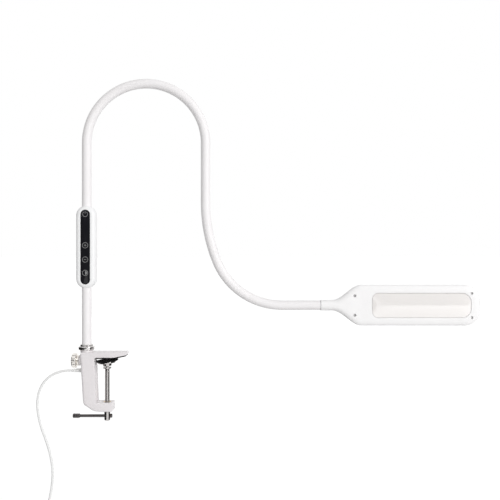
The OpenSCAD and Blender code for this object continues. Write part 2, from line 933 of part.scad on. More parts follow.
module each_head_screw() {
    for (z = [-1, 1]) {
        translate([head_end - near_screw_x, 0, z * near_screw_z]) children();
        translate([head_end - far_screw_x, 0, z * far_screw_z]) children();
    }
}

// Outline of the light window around its middle, grown all round
module window_outline(grow) {
    h = window_h + 2 * grow;
    near_r = window_near_r + grow;
    far_r = window_far_r + grow;
    near_x = near_r - window_l / 2 - grow;
    far_x = window_l / 2 + grow - far_r;
    translate([near_x, -h / 2]) square([far_x - near_x, h]);
    translate([near_x - near_r, near_r - h / 2]) square([2 * near_r, h - 2 * near_r]);
    translate([far_x - far_r, far_r - h / 2]) square([2 * far_r, h - 2 * far_r]);
    for (s = [-1, 1]) {
        translate([near_x, s * (h / 2 - near_r)]) circle(near_r);
        translate([far_x, s * (h / 2 - far_r)]) circle(far_r);
    }
}

module head_back() {
    color("white") at_head() difference() {
        head_half(1);
        each_head_screw() y_rod(0, 0, -over, head_t / 4, screw_core_r);
    }
}

module head_front() {
    color("white") at_head() difference() {
        head_half(-1);
        translate([window_x, 0, 0]) upright(-head_t, 0) window_outline(0);
        each_head_screw() {
            y_rod(0, 0, front_y - over, over, screw_core_r + slip);
            y_rod(0, 0, front_y - over, front_y + 2 * screw_head_h, screw_head_r);
        }
    }
}

module lens() {
    back = front_y + head_wall;
    color("ivory") at_head() translate([window_x, 0, 0]) {
        upright(back + slip, back + slip + flange_t) window_outline(rim);
        intersection() {
            upright(front_y - lens_rise, back + 2 * slip) window_outline(-slip);
            translate([0, front_y - lens_rise + lens_r, 0])
                x_rod(-window_l, window_l, 2 * lens_r, $fn = 720);
        }
    }
}

module reflector_frame() {
    y0 = front_y + head_wall + slip + flange_t;
    lip = 3;
    color("white") at_head() translate([window_x, 0, 0])
        upright(y0, plate_y - chip_board_t) difference() {
            window_outline(rim);
            window_outline(-lip);
        }
}

module led_board() {
    color("whitesmoke") at_head() translate([window_x, 0, 0])
        upright(plate_y - chip_board_t, plate_y) round_rect(window_l - 4, window_h - 4, 4);
}

module led_chips() {
    y1 = plate_y - chip_board_t;
    pitch = (window_l - 2 * chip_edge) / (chip_columns - 1);
    color("khaki") at_head() for (i = [0:chip_columns - 1], z = chip_rows)
        translate([window_x + (i - (chip_columns - 1) / 2) * pitch, 0, z])
            upright(y1 - chip_t, y1) square(chip, center = true);
}

module heat_plate() {
    color("silver") at_head() translate([window_x, 0, 0])
        upright(plate_y, plate_y + plate_t) round_rect(window_l - 2, window_h - 2, 5);
}

module head_ferrule() {
    color("silver") at_head() translate([head_x - ferrule_in, 0, 0]) rotate([0, 90, 0])
        linear_extrude(ferrule_in + ferrule_out) ring(tube_d, core_bore);
}

module head_cable() {
    color("lightgray") at_head()
        x_rod(head_x - ferrule_in, window_x - window_l / 2 - rim - slip, cable_d);
}

module head_screws() {
    color("#303030") at_head() each_head_screw() {
        y_rod(0, 0, front_y + 2 * screw_head_h, head_t / 4 - over, screw_core_r);
        y_rod(0, 0, front_y + screw_head_h, front_y + 2 * screw_head_h, screw_head_r - slip);
    }
}

// ---------- lead ----------

module lead_boot() {
    inner = mast_x - mast_bore_r - boot_seat;
    bore_r = lead_d / 2 + slip;
    rim_t = 1.7;
    color("white") x_turned(boot_seat, lead_z, [
        [inner, bore_r], [inner, lead_d / 2 + 1], [0, lead_d / 2 + 1], [0, boot_rim_r],
        [-rim_t, boot_rim_r], [-rim_t, boot_rim_r - 0.6], [-boot_l, lead_d / 2 + 0.7],
        [-boot_l, bore_r]
    ]);
}

// Point on the smooth curve through the route, at a share t after point i
function route_point(p, i, t) =
    let (
        n = len(p) - 1,
        a = p[max(i - 1, 0)], b = p[i], c = p[min(i + 1, n)], d = p[min(i + 2, n)]
    )
    b + t / 2 * ((c - a) + t * ((2 * a - 5 * b + 4 * c - d) + t * (3 * b - a - 3 * c + d)));

function smooth_route(p, parts) = concat(
    [for (i = [0:len(p) - 2], j = [0:parts - 1]) route_point(p, i, j / parts)],
    [p[len(p) - 1]]
);

// Tube with flat ends along points that stay near the XZ plane
module swept_tube(p, r, sides) {
    n = len(p);
    rings = [
        for (i = [0:n - 1])
            let (
                t = unit(p[min(i + 1, n - 1)] - p[max(i - 1, 0)]),
                u = unit(cross(t, [0, 1, 0])),
                v = cross(t, u)
            )
            for (j = [0:sides - 1])
                p[i] + r * (cos(j * 360 / sides) * u + sin(j * 360 / sides) * v)
    ];
    walls = [
        for (i = [0:n - 2], j = [0:sides - 1])
            let (k = (j + 1) % sides)
            [i * sides + j, i * sides + k, (i + 1) * sides + k, (i + 1) * sides + j]
    ];
    caps = [
        [for (j = [sides - 1:-1:0]) j],
        [for (j = [0:sides - 1]) (n - 1) * sides + j]
    ];
    polyhedron(rings, concat(walls, caps));
}

module power_lead() {
    color("whitesmoke") translate(lead_root)
        swept_tube(smooth_route(lead_way, 2), lead_d / 2, 8);
}

module connector_body() {
    edge = 0.6;
    color("whitesmoke") translate(plug_top) rotate_extrude() polygon([
        [0, 0], [lead_d / 2 + edge, 0], [plug_d / 2, -plug_taper],
        [plug_d / 2, -plug_l + edge], [plug_d / 2 - edge, -plug_l], [plug_bore / 2, -plug_l],
        [plug_bore / 2, -plug_l + contact_l + 0.5], [0, -plug_l + contact_l + 0.5]
    ]);
}

module connector_contact() {
    color("silver") translate(plug_top - [0, 0, plug_l - 0.5]) {
        cylinder(h = contact_l, d = wire_d);
        linear_extrude(contact_l) ring(shield_d, shield_d - 2 * shield_t);
    }
}

// ---------- nodes ----------

clamp_body();
jaw_liner();
screw_bush();
lead_boot();
power_lead();
connector_body();
connector_contact();
thrust_washer();
clamp_screw();
tommy_bar();
bar_caps();
foot_cup();
foot_pad();
lock_pad();
lock_knob();
mast_pin();
collar_ring();
collar_nut();
mast_tube();
mast_sleeve();
mast_cable();
control_back();
control_front();
touch_panel();
control_board();
touch_springs();
board_parts();
control_screws();
for (i = [1:neck_count]) {
    neck_sleeve(i);
    neck_core(i);
    neck_cable(i);
}
head_ferrule();
head_back();
head_front();
lens();
reflector_frame();
led_board();
led_chips();
heat_plate();
head_cable();
head_screws();
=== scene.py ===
import json
from contextlib import contextmanager
from math import ceil, copysign, cos, degrees, hypot, pi, radians, sin, sqrt

import bmesh
import bpy
from mathutils import Matrix, Vector


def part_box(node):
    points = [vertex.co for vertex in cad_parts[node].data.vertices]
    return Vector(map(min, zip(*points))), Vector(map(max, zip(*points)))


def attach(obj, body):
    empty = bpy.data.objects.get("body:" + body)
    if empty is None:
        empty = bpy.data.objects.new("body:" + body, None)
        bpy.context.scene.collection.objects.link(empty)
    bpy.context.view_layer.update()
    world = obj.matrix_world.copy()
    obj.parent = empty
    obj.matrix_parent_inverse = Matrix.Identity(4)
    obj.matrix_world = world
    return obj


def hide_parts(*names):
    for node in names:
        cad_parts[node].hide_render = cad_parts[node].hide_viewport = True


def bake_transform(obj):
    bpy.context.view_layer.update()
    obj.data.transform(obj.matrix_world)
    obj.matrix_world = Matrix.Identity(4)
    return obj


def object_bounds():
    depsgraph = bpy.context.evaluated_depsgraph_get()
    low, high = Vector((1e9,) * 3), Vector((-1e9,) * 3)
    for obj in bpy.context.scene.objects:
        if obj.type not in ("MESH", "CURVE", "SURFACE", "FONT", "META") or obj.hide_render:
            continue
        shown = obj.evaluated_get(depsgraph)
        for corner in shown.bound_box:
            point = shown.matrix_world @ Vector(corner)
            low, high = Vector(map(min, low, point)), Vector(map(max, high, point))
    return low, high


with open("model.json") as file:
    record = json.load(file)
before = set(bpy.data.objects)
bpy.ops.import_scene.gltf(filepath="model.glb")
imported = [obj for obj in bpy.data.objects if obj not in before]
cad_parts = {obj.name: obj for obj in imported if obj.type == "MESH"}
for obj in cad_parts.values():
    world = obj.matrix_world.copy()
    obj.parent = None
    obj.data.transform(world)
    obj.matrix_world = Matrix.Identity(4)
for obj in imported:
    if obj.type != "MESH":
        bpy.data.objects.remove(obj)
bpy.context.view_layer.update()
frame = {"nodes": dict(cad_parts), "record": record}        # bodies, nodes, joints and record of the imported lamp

MM = 0.001
ORIGIN = Vector((0, 0, 0))
RIGHT = Vector((1, 0, 0))
BACK = Vector((0, 1, 0))
FRONT = Vector((0, -1, 0))
UP = Vector((0, 0, 1))


# ---------- places read from the frame ----------

def middle(node):
    low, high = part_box(node)
    return (low + high) / 2


def span(node, axis):
    """Where a CAD node starts and ends along the x, y or z axis, in millimetres."""
    return [getattr(corner, axis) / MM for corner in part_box(node)]


mast_x = middle("mast_tube").x
mast_foot = Vector((mast_x, 0, 0))
box_centre = Vector((mast_x, 0, middle("control_back").z))
head_root = Vector((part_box("head_back")[0].x, 0, middle("head_back").z))


# ---------- camera and the power lead ----------

def aim_camera():
    data = bpy.data.cameras.new("camera")
    data.sensor_width = 36.0
    data.lens = 48.7
    data.clip_end = 50.0
    camera = bpy.data.objects.new("camera", data)
    camera.location = (0.2426, -1.15, 0.1836)
    camera.rotation_euler = (radians(90), 0, 0)
    bpy.context.scene.collection.objects.link(camera)
    bpy.context.scene.camera = camera


aim_camera()

LEAD_D = 4 * MM
LEAD_WAY = [
    (0, 0), (-14, -1), (-28, -5), (-41, -13), (-51, -25), (-57, -40), (-59, -58),
    (-57, -78), (-52, -98), (-45, -117), (-39, -136), (-35, -155), (-33, -174), (-34, -193),
    (-37, -212), (-41, -231), (-44, -250), (-46, -269), (-46, -288), (-46, -304), (-46, -320)
]
lead_root = Vector((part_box("lead_boot")[0].x, 0, middle("lead_boot").z))
plug_top = lead_root + Vector((LEAD_WAY[-1][0], 0, LEAD_WAY[-1][1])) * MM


def smooth_way(points, parts):
    """Points on a smooth curve through the given ones, parts to each stretch."""
    last = len(points) - 1
    way = []
    for i in range(last):
        a, b = points[max(i - 1, 0)], points[i]
        c, d = points[i + 1], points[min(i + 2, last)]
        for j in range(parts):
            t = j / parts
            way.append(b + t / 2 * ((c - a) + t * ((2 * a - 5 * b + 4 * c - d)
                                                  + t * (3 * b - a - 3 * c + d))))
    return way + [points[-1]]


def lay_lead():
    """The power lead, from inside its strain relief to inside the connector."""
    points = [lead_root + Vector((x, 0, z)) * MM for x, z in LEAD_WAY]
    way = smooth_way(points, 4)
    data = bpy.data.curves.new("power_lead", "CURVE")
    data.dimensions = "3D"
    data.bevel_depth = 1.0
    data.bevel_resolution = 4
    data.use_fill_caps = True
    spline = data.splines.new("POLY")
    spline.points.add(len(way) - 1)
    for point, place in zip(spline.points, way):
        point.co = (*place, 1)
        point.radius = LEAD_D / 2
    spline.use_smooth = True
    lead = bpy.data.objects.new("lead", data)
    bpy.context.scene.collection.objects.link(lead)
    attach(lead, "clamp")
    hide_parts("power_lead")
    return lead


lead = lay_lead()


# ---------- node trees ----------

def operator(operation):
    """An operator of Wire and its reflected form, as in mask - 1 and 1 - mask."""
    def plain(self, other):
        return self.tree.maths(operation, self, other)

    def reflected(self, other):
        return self.tree.maths(operation, other, self)

    return plain, reflected


class Wire:
    """An output of a node that can stand in sums and products."""

    def __init__(self, tree, socket):
        self.tree, self.socket = tree, socket

    __add__, __radd__ = operator("ADD")
    __sub__, __rsub__ = operator("SUBTRACT")
    __mul__, __rmul__ = operator("MULTIPLY")
    __truediv__, __rtruediv__ = operator("DIVIDE")
    __pow__, __rpow__ = operator("POWER")

    def above(self, edge):
        return self.tree.maths("GREATER_THAN", self, edge)

    def at_least(self, other):
        return self.tree.maths("MAXIMUM", self, other)

    def at_most(self, other):
        return self.tree.maths("MINIMUM", self, other)

    def sine(self):
        return self.tree.maths("SINE", self)

    def cosine(self):
        return self.tree.maths("COSINE", self)


class Tree:
    """A node tree, and the one way in which nodes are put into it."""

    def __init__(self, tree):
        self.tree = tree

    def node(self, kind, settings=None, given=None, out=0):
        """A node of that kind: its settings come first, then values or wires for its sockets."""
        made = self.tree.nodes.new(kind)
        for name, value in (settings or {}).items():
            setattr(made, name, value)
        for key, value in (given or {}).items():
            for one in value if isinstance(value, list) else [value]:
                self.feed(made.inputs[key], one)
        return Wire(self, made.outputs[out]) if made.outputs else made

    def maths(self, operation, *given):
        return self.node("ShaderNodeMath", {"operation": operation}, dict(enumerate(given)))

    def feed(self, socket, value):
        if isinstance(value, Wire):
            self.tree.links.new(value.socket, socket)
        else:
            socket.default_value = value


class Finish(Tree):
    """A material with one Principled shader."""

    def __init__(self, name):
        self.material = bpy.data.materials.new(name)
        self.material.use_nodes = True
        super().__init__(self.material.node_tree)
        self.shader = self.tree.nodes["Principled BSDF"]
        self.place = self.node("ShaderNodeTexCoord", out="Object")

    def set(self, **values):
        """Feeds the shader's sockets, whose names are written with _ for a space."""
        for name, value in values.items():
            self.feed(self.shader.inputs[name.replace("_", " ")], value)
        return self

    def stretched(self, x, y, z):
        """The place on the piece, with each axis scaled."""
        return self.node("ShaderNodeMapping", {}, {"Vector": self.place, "Scale": (x, y, z)})

    def grain(self, feature, detail=2.0, rough=0.5, place=None):
        """Noise from 0 to 1 whose blobs are about feature metres across."""
        return self.node("ShaderNodeTexNoise", {}, {
            "Vector": place or self.place, "Scale": 1 / feature, "Detail": detail, "Roughness": rough
        })

    def along(self, axis):
        """X, Y or Z of the place on the piece, in metres."""
        return self.node("ShaderNodeSeparateXYZ", {}, {0: self.place}, axis)

    def lines(self, axis, pitch):
        """Waves from -1 to 1 along an axis."""
        return (self.along(axis) * (2 * pi / pitch)).sine()

    def relief(self, height, depth, under=None):
        """The surface's direction with a height of 0 to 1 raised on it, on top of another relief."""
        given = {"Height": height, "Distance": depth, "Strength": 1.0}
        if under is not None:
            given["Normal"] = under
        return self.node("ShaderNodeBump", {}, given)

    def shades(self, colour, share, low, high):
        """The colour, from low to high times as bright with the share."""
        dark, light = ((*(min(1.0, c * factor) for c in colour), 1.0) for factor in (low, high))
        return self.node("ShaderNodeMix", {"data_type": "RGBA"}, {0: share, 6: dark, 7: light}, 2)


# ---------- finishes ----------

def moulded(name, colour, rough=0.42, coat=0.0):
    """Injection moulding with a fine eroded texture and faint unevenness in its gloss."""
    f = Finish(name)
    cloud = f.grain(38 * MM, 3)
    pits = f.grain(0.8 * MM, 3, 0.6)
    specks = f.grain(3.2 * MM, 2)
    return f.set(
        Base_Color=f.shades(colour, cloud * 0.8, 0.975, 1.012),
        Roughness=rough - 0.05 + cloud * 0.06 + specks * 0.05,
        Normal=f.relief(pits, 0.006 * MM),
        Coat_Weight=coat, Coat_Roughness=0.12, Specular_IOR_Level=0.5
    )


def silicone(name, colour):
    """Drawn silicone tube: soft sheen, faint clouds in it and a little dust."""
    f = Finish(name)
    cloud = f.grain(22 * MM, 3)
    dust = f.grain(1.1 * MM, 3, 0.6)
    return f.set(
        Base_Color=f.shades(colour, cloud * 0.7 + dust * 0.3, 0.972, 1.01),
        Roughness=0.46 + cloud * 0.08 + dust * 0.06,
        Normal=f.relief(dust, 0.005 * MM),
        Sheen_Weight=0.08, Sheen_Roughness=0.4, Specular_IOR_Level=0.45
    )


def powder_coat(name, colour):
    """Stoved powder with orange peel and a fine grit under a thin clear coat."""
    f = Finish(name)
    peel = f.grain(1.5 * MM, 2, 0.45)
    cloud = f.grain(17 * MM, 3)
    grit = f.grain(0.35 * MM, 2)
    return f.set(
        Base_Color=f.shades(colour, cloud * 0.6 + grit * 0.3, 0.965, 1.015),
        Roughness=0.36 + peel * 0.1 + grit * 0.05,
        Normal=f.relief(grit, 0.006 * MM, f.relief(peel, 0.035 * MM)),
        Coat_Weight=0.25, Coat_Roughness=0.22
    )


def plated(name, colour, rough=0.1, turn=None):
    """Polished plate, with faint tool rings round the axis it was turned on, if it was."""
    f = Finish(name)
    cloud = f.grain(4 * MM, 3)
    haze = f.grain(0.5 * MM, 2)
    return f.set(
        Base_Color=f.shades(colour, cloud, 0.95, 1.03),
        Metallic=1.0,
        Roughness=rough + cloud * 0.05 + haze * 0.03,
        Normal=f.relief(f.lines(turn, 0.22 * MM) if turn else haze, 0.0012 * MM)
    )


def brushed(name, colour, rough, lines=(900, 900, 60)):
    """Drawn or brushed metal with fine lines along one axis."""
    f = Finish(name)
    hair = f.grain(1.0, 3, 0.6, f.stretched(*lines))
    cloud = f.grain(6 * MM, 2)
    return f.set(
        Base_Color=f.shades(colour, hair, 0.9, 1.06),
        Metallic=1.0,
        Roughness=rough - 0.05 + hair * 0.12 + cloud * 0.05,
        Normal=f.relief(hair, 0.004 * MM)
    )


def rubber(name, colour):
    """Matt moulded rubber, slightly bloomed."""
    f = Finish(name)
    bloom = f.grain(7 * MM, 4, 0.6)
    pores = f.grain(0.8 * MM, 3)
    return f.set(
        Base_Color=f.shades(colour, bloom, 0.8, 1.5),
        Roughness=0.66 + bloom * 0.12,
        Normal=f.relief(pores, 0.015 * MM),
        Specular_IOR_Level=0.1
    )


def touch_gloss(name, colour):
    """Deep gloss acrylic with the faint smears that fingers leave."""
    f = Finish(name)
    smear = f.grain(1.0, 3, 0.6, f.stretched(160, 160, 45))
    return f.set(
        Base_Color=f.shades(colour, smear, 0.8, 1.6),
        Roughness=0.045 + (smear ** 3) * 0.12,
        Specular_IOR_Level=0.3
    )


def opal_diffuser(name, colour):
    """Milky opal acrylic, glossy outside, with faint lines across it."""
    f = Finish(name)
    cloud = f.grain(30 * MM, 2)
    milk = f.grain(0.8 * MM, 2)
    return f.set(
        Base_Color=f.shades(colour, cloud * 0.7 + milk * 0.2, 0.975, 1.0),
        Roughness=0.14 + milk * 0.05,
        Normal=f.relief(f.lines("X", 1.6 * MM), 0.0015 * MM),
        Coat_Weight=1.0, Coat_Roughness=0.06, Coat_IOR=1.7, Specular_IOR_Level=0.6
    )


def cable_jacket(name, colour):
    """Extruded cable jacket, a little waxy."""
    f = Finish(name)
    cloud = f.grain(9 * MM, 3)
    draw = f.grain(0.8 * MM, 2)
    return f.set(
        Base_Color=f.shades(colour, cloud, 0.96, 1.01),
        Roughness=0.38 + cloud * 0.1,
        Normal=f.relief(draw, 0.004 * MM),
        Specular_IOR_Level=0.45
    )


def circuit_board(name, colour):
    """Solder mask over copper tracks."""
    f = Finish(name)
    tracks = f.node("ShaderNodeTexVoronoi", {"feature": "DISTANCE_TO_EDGE"},
                    {"Vector": f.place, "Scale": 260.0}, "Distance").above(0.12)
    weave = f.grain(0.4 * MM, 2)
    return f.set(
        Base_Color=f.shades(colour, tracks * 0.8 + weave * 0.2, 0.7, 1.25),
        Roughness=0.3 + weave * 0.12,
        Normal=f.relief(tracks, 0.03 * MM)
    )


def phosphor(name, colour):
    """Clear resin over yellow phosphor."""
    f = Finish(name)
    grit = f.grain(0.25 * MM, 2)
    return f.set(
        Base_Color=f.shades(colour, grit, 0.85, 1.1),
        Roughness=0.16 + grit * 0.1, Coat_Weight=0.5, Coat_Roughness=0.1
    )


def printed(name, colour):
    """Screen printed ink."""
    f = Finish(name)
    grit = f.grain(0.3 * MM, 2)
    return f.set(Base_Color=f.shades(colour, grit, 0.85, 1.1), Roughness=0.45 + grit * 0.15)


finish = {
    "frame_paint": powder_coat("clamp_powder_coat", (0.825, 0.79, 0.80)),
    "rubber_black": rubber("black_rubber", (0.004, 0.004, 0.0045)),
    "brass": plated("turned_brass", (0.55, 0.42, 0.24), 0.25, "Z"),
    "screw_steel": plated("nickel_plated_screw", (0.56, 0.54, 0.53), 0.1, "Z"),
    "bar_steel": brushed("dark_nickel_bar", (0.13, 0.12, 0.12), 0.24, (60, 900, 900)),
    "knob_chrome": plated("chromed_knob", (0.90, 0.87, 0.83), 0.22, "X"),
    "collar_chrome": plated("chromed_collar", (0.76, 0.74, 0.73), 0.08, "Z"),
    "steel": brushed("drawn_steel", (0.62, 0.63, 0.65), 0.28),
    "silicone_white": silicone("white_silicone", (0.90, 0.88, 0.885)),
    "cable_grey": cable_jacket("grey_cable", (0.52, 0.52, 0.54)),
    "lead_white": cable_jacket("white_lead", (0.87, 0.87, 0.865)),
    "housing_white": moulded("housing_moulding", (0.92, 0.92, 0.925)),
    "head_white": moulded("head_moulding", (0.925, 0.917, 0.918), 0.4),
    "panel_black": touch_gloss("black_touch_acrylic", (0.010, 0.010, 0.012)),
    "lens_opal": opal_diffuser("opal_lens", (0.93, 0.90, 0.88)),
    "reflector_white": moulded("reflector_gloss", (0.9, 0.9, 0.9), 0.2, 0.5),
    "board_green": circuit_board("green_board", (0.04, 0.20, 0.10)),
    "board_white": circuit_board("white_board", (0.80, 0.80, 0.79)),
    "parts_dark": moulded("dark_cases", (0.05, 0.05, 0.055), 0.5),
    "led_yellow": phosphor("led_phosphor", (0.86, 0.72, 0.26)),
    "heat_aluminium": brushed("heat_plate_aluminium", (0.74, 0.75, 0.76), 0.32, (40, 900, 900)),
    "screw_dark": plated("blackened_screw", (0.74, 0.73, 0.73), 0.35),
    "icon_ink": printed("icon_ink", (0.25, 0.25, 0.25)),
}


# ---------- meshes ----------

@contextmanager
def editing(mesh):
    """Opens a mesh for changes to its corners and faces, and writes them back."""
    bm = bmesh.new()
    bm.from_mesh(mesh)
    yield bm
    bm.to_mesh(mesh)
    bm.free()


def closed_mesh(points, faces):
    """A mesh with its doubles merged and its faces outwards."""
    mesh = bpy.data.meshes.new("mesh")
    mesh.from_pydata([tuple(p) for p in points], [], faces)
    with editing(mesh) as bm:
        bmesh.ops.remove_doubles(bm, verts=bm.verts, dist=0.5e-6)
        bmesh.ops.recalc_face_normals(bm, faces=bm.faces)
    return mesh


def skin(rings, around=False):
    """A skin over rings of equal count: flat ends, or the last ring joined to the first."""
    count = len(rings[0])
    rows = len(rings)
    faces = []
    for i in range(rows if around else rows - 1):
        a, b = i * count, (i + 1) % rows * count
        for j in range(count):
            k = (j + 1) % count
            faces.append((a + j, a + k, b + k, b + j))
    if not around:
        faces.append(tuple(range(count)))
        faces.append(tuple((rows - 1) * count + j for j in range(count)))
    return closed_mesh([p for ring in rings for p in ring], faces)


def eased(corners, steps=3, around=False):
    """A line through corners (a, b) or (a, b, ease); each ease rounds its corner off."""
    line = []
    count = len(corners)
    for i, corner in enumerate(corners):
        here = Vector(corner[:2])
        ease = corner[2] if len(corner) > 2 else 0
        if not ease or not (around or 0 < i < count - 1):
            line.append(here)
            continue
        before = Vector(corners[i - 1][:2]) - here
        after = Vector(corners[(i + 1) % count][:2]) - here
        start = before.normalized() * min(ease, before.length / 2)
        end = after.normalized() * min(ease, after.length / 2)
        for j in range(steps + 1):
            t = j / steps
            bend = (1 - t) ** 2 * start + t ** 2 * end
            fuller = 0.82 + 0.36 * abs(t - 0.5)      # draws a parabola's middle out to a round's
            line.append(here + bend * fuller)
    return line


def turned(profile, centre, axis=UP, steps=72, around=False, flute=None):
    """A turned piece: profile gives (radius, height) along the axis, in millimetres."""
    turn = axis.to_track_quat("Z", "Y").to_matrix()
    rings = []
    for radius, height in profile:
        ring = []
        for j in range(steps):
            angle = 2 * pi * j / steps
            r = radius if flute is None else flute(radius, height, angle)
            ring.append(centre + turn @ Vector((r * cos(angle), r * sin(angle), height)) * MM)
        rings.append(ring)
    return skin(rings, around)


def round_rect(wide, high, radius, inset=0.0, arc=6, left_radius=None):
    """The outline of a rounded rectangle, anticlockwise; its left corners may differ."""
    line = []
    for quarter, (sx, sz) in enumerate(((1, 1), (-1, 1), (-1, -1), (1, -1))):
        r = radius if sx > 0 or left_radius is None else left_radius
        r = max(r - inset, 0.02)
        x, z = sx * (wide / 2 - inset - r), sz * (high / 2 - inset - r)
        for j in range(arc + 1):
            angle = pi / 2 * (quarter + j / arc)
            line.append((x + r * cos(angle), z + r * sin(angle)))
    return line


def quarter_turn(steps):
    """Angles of a quarter turn in equal steps."""
    return [pi / 2 * j / steps for j in range(steps + 1)]


def plate(outline, centre, front, back, ease_front=0.0, ease_back=0.0):
    """A plate from depth front to depth back, whose outline(inset) loses an eased edge."""
    levels = []
    for depth, ease, side in ((front, ease_front, 1), (back, ease_back, -1)):
        marks = [(0.0, depth)] if not ease else [
            (ease * (1 - sin(a)), depth + side * ease * (1 - cos(a))) for a in quarter_turn(3)
        ]
        levels += marks[::side]
    return skin([[centre + Vector((x, y, z)) * MM for x, z in outline(inset)] for inset, y in levels])


def joined(*meshes):
    """One mesh out of several, which go."""
    whole = bpy.data.meshes.new("whole")
    with editing(whole) as bm:
        for mesh in meshes:
            bm.from_mesh(mesh)
    for mesh in meshes:
        bpy.data.meshes.remove(mesh)
    return whole


def loose(mesh, name="loose"):
    thing = bpy.data.objects.new(name, mesh)
    bpy.context.scene.collection.objects.link(thing)
    return thing


def baked(thing):
    """Turns what a loose object's modifiers make into its own plain mesh."""
    seen = thing.evaluated_get(bpy.context.evaluated_depsgraph_get())
    mesh = bpy.data.meshes.new_from_object(seen)
    thing.modifiers.clear()
    spent, thing.data = thing.data, mesh
    bpy.data.meshes.remove(spent)
    return thing


def taken(thing):
    """The mesh of a loose object, which goes."""
    mesh = thing.data
    bpy.data.objects.remove(thing)
    return mesh


def cut(mesh, tools):
    """A mesh with the tools' meshes cut out of it."""
    thing = loose(mesh)
    knives = [loose(tool) for tool in tools]
    for knife in knives:
        step = thing.modifiers.new("cut", "BOOLEAN")
        step.operation, step.solver, step.object = "DIFFERENCE", "EXACT", knife
    baked(thing)
    for knife in knives:
        bpy.data.meshes.remove(knife.data)
    return taken(thing)


def rounded_off(thing, width, angle=40):
    """Rounds the edges of a loose object that are sharper than the angle."""
    step = thing.modifiers.new("ease", "BEVEL")
    step.width, step.segments = width * MM, 2
    step.limit_method, step.angle_limit = "ANGLE", radians(angle)
    step.use_clamp_overlap = True
    return baked(thing)


def thickened(mesh, wall, side, even=False):
    """Gives an open shell, whose flat face is to look towards the side, a wall inwards."""
    flat = max(mesh.polygons, key=lambda face: face.area * abs(face.normal.y))
    if flat.normal.y * side < 0:        # an open shell has no inside to turn away from
        mesh.flip_normals()
    thing = loose(mesh)
    step = thing.modifiers.new("wall", "SOLIDIFY")
    step.thickness, step.offset, step.use_even_offset = wall * MM, -1, even
    return taken(baked(thing))


def copy_of(node):
    """A merged copy of a CAD node's mesh, its flat faces whole."""
    mesh = frame["nodes"][node].data.copy()
    with editing(mesh) as bm:
        bmesh.ops.remove_doubles(bm, verts=bm.verts, dist=1e-6)
        bmesh.ops.dissolve_limit(bm, angle_limit=radians(1), verts=bm.verts, edges=bm.edges)
    mesh.materials.clear()
    return loose(mesh)


rides_on = {
    node: body for body, nodes in frame["record"]["behaviour"]["bodies"].items() for node in nodes
}


def finished(thing, name, coat, stands_for=None, sharp=35, body=None):
    """Names a mesh or loose object, gives it its finish, and lets it ride with what it stands for."""
    if isinstance(thing, bpy.types.Mesh):
        thing = loose(thing)
    thing.name = name
    thing.data.name = name
    thing.data.materials.clear()
    thing.data.materials.append(finish[coat].material)
    thing.data.shade_smooth()
    thing.data.set_sharp_from_angle(angle=radians(sharp))
    if stands_for:
        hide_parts(stands_for)
        body = rides_on[stands_for]
    if body:
        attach(thing, body)
    return thing


def recoat(coat, *nodes):
    """Gives CAD nodes that stay their finish."""
    for node in nodes:
        for place in frame["nodes"][node].material_slots:
            place.material = finish[coat].material


# ---------- clamp ----------

BALL_R, BALL_Z = 4.5, span("thrust_washer", "z")[1] + 5.5
BALL = Vector((0, 0, BALL_Z * MM))
FOOT_TILT = radians(-5)
FOOT_AXIS = Vector((sin(FOOT_TILT), 0, cos(FOOT_TILT)))
HUB_TOP, HUB_LOW = -89.6, -106.6
BAR_R = 2.5
BAR_CENTRE = Vector((0, 0, (HUB_TOP + HUB_LOW) / 2)) * MM


def soften_rim(bm, flat, width_at):
    """Rounds the rim of a flat face; width_at gives the width of the round at a spot."""
    fall = 0.7          # depth of the round for a width of 1
    out = flat.normal.copy()
    rim = [loop.vert for loop in flat.loops]
    spots = [vert.co.copy() for vert in rim]
    widths = [width_at(spot) for spot in spots]
    count = len(rim)
    inwards = []
    for i, spot in enumerate(spots):
        before = out.cross((spot - spots[i - 1]).normalized())
        after = out.cross((spots[(i + 1) % count] - spot).normalized())
        both = (before + after).normalized()
        inwards.append(both / max(0.5, both.dot(before)))       # a mitre, at most twice as long
    bm.faces.remove(flat)
    for vert, width in zip(rim, widths):
        vert.co -= out * width * fall
    low = rim
    for a in quarter_turn(6)[1:]:
        high = [
            bm.verts.new(spot + (inward * (1 - cos(a)) - out * fall * (1 - sin(a))) * width)
            for spot, inward, width in zip(spots, inwards, widths)
        ]
        for i in range(count):
            j = (i + 1) % count
            bm.faces.new((low[i], low[j], high[j], high[i]))
        low = high
    bm.faces.new(low)


def paint_clamp():
    """The cast frame, its outer edges rounded broadly, and its rubber liner."""
    body = copy_of("clamp_body")
    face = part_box("clamp_body")[1].y - 0.01 * MM
    spine_x, throat_x, top, arm_top = -36.5, 6.0, 11.0, span("screw_bush", "z")[1] - 1
    narrow, broad, fade = 0.8, 3.4, 5.0

    def rim_width(spot):
        """Broad on the outside of the spine and the arm, narrow elsewhere and near the top."""
        x, z = spot.x / MM, spot.z / MM
        outer = x < spine_x or x < throat_x and z < arm_top
        return (narrow + (broad * min(1.0, (top - z) / fade) if outer else 0.0)) * MM

    with editing(body.data) as bm:
        # The two sides are the faces with many corners, all of them at the frame's full depth.
        sides = [f for f in bm.faces if len(f.verts) > 9 and min(abs(v.co.y) for v in f.verts) > face]
        for side in sides:
            soften_rim(bm, side, rim_width)
    finished(rounded_off(body, 0.6, 50), "clamp_frame", "frame_paint", "clamp_body")
    finished(rounded_off(copy_of("jaw_liner"), 0.4), "jaw_liner_pad", "rubber_black", "jaw_liner")


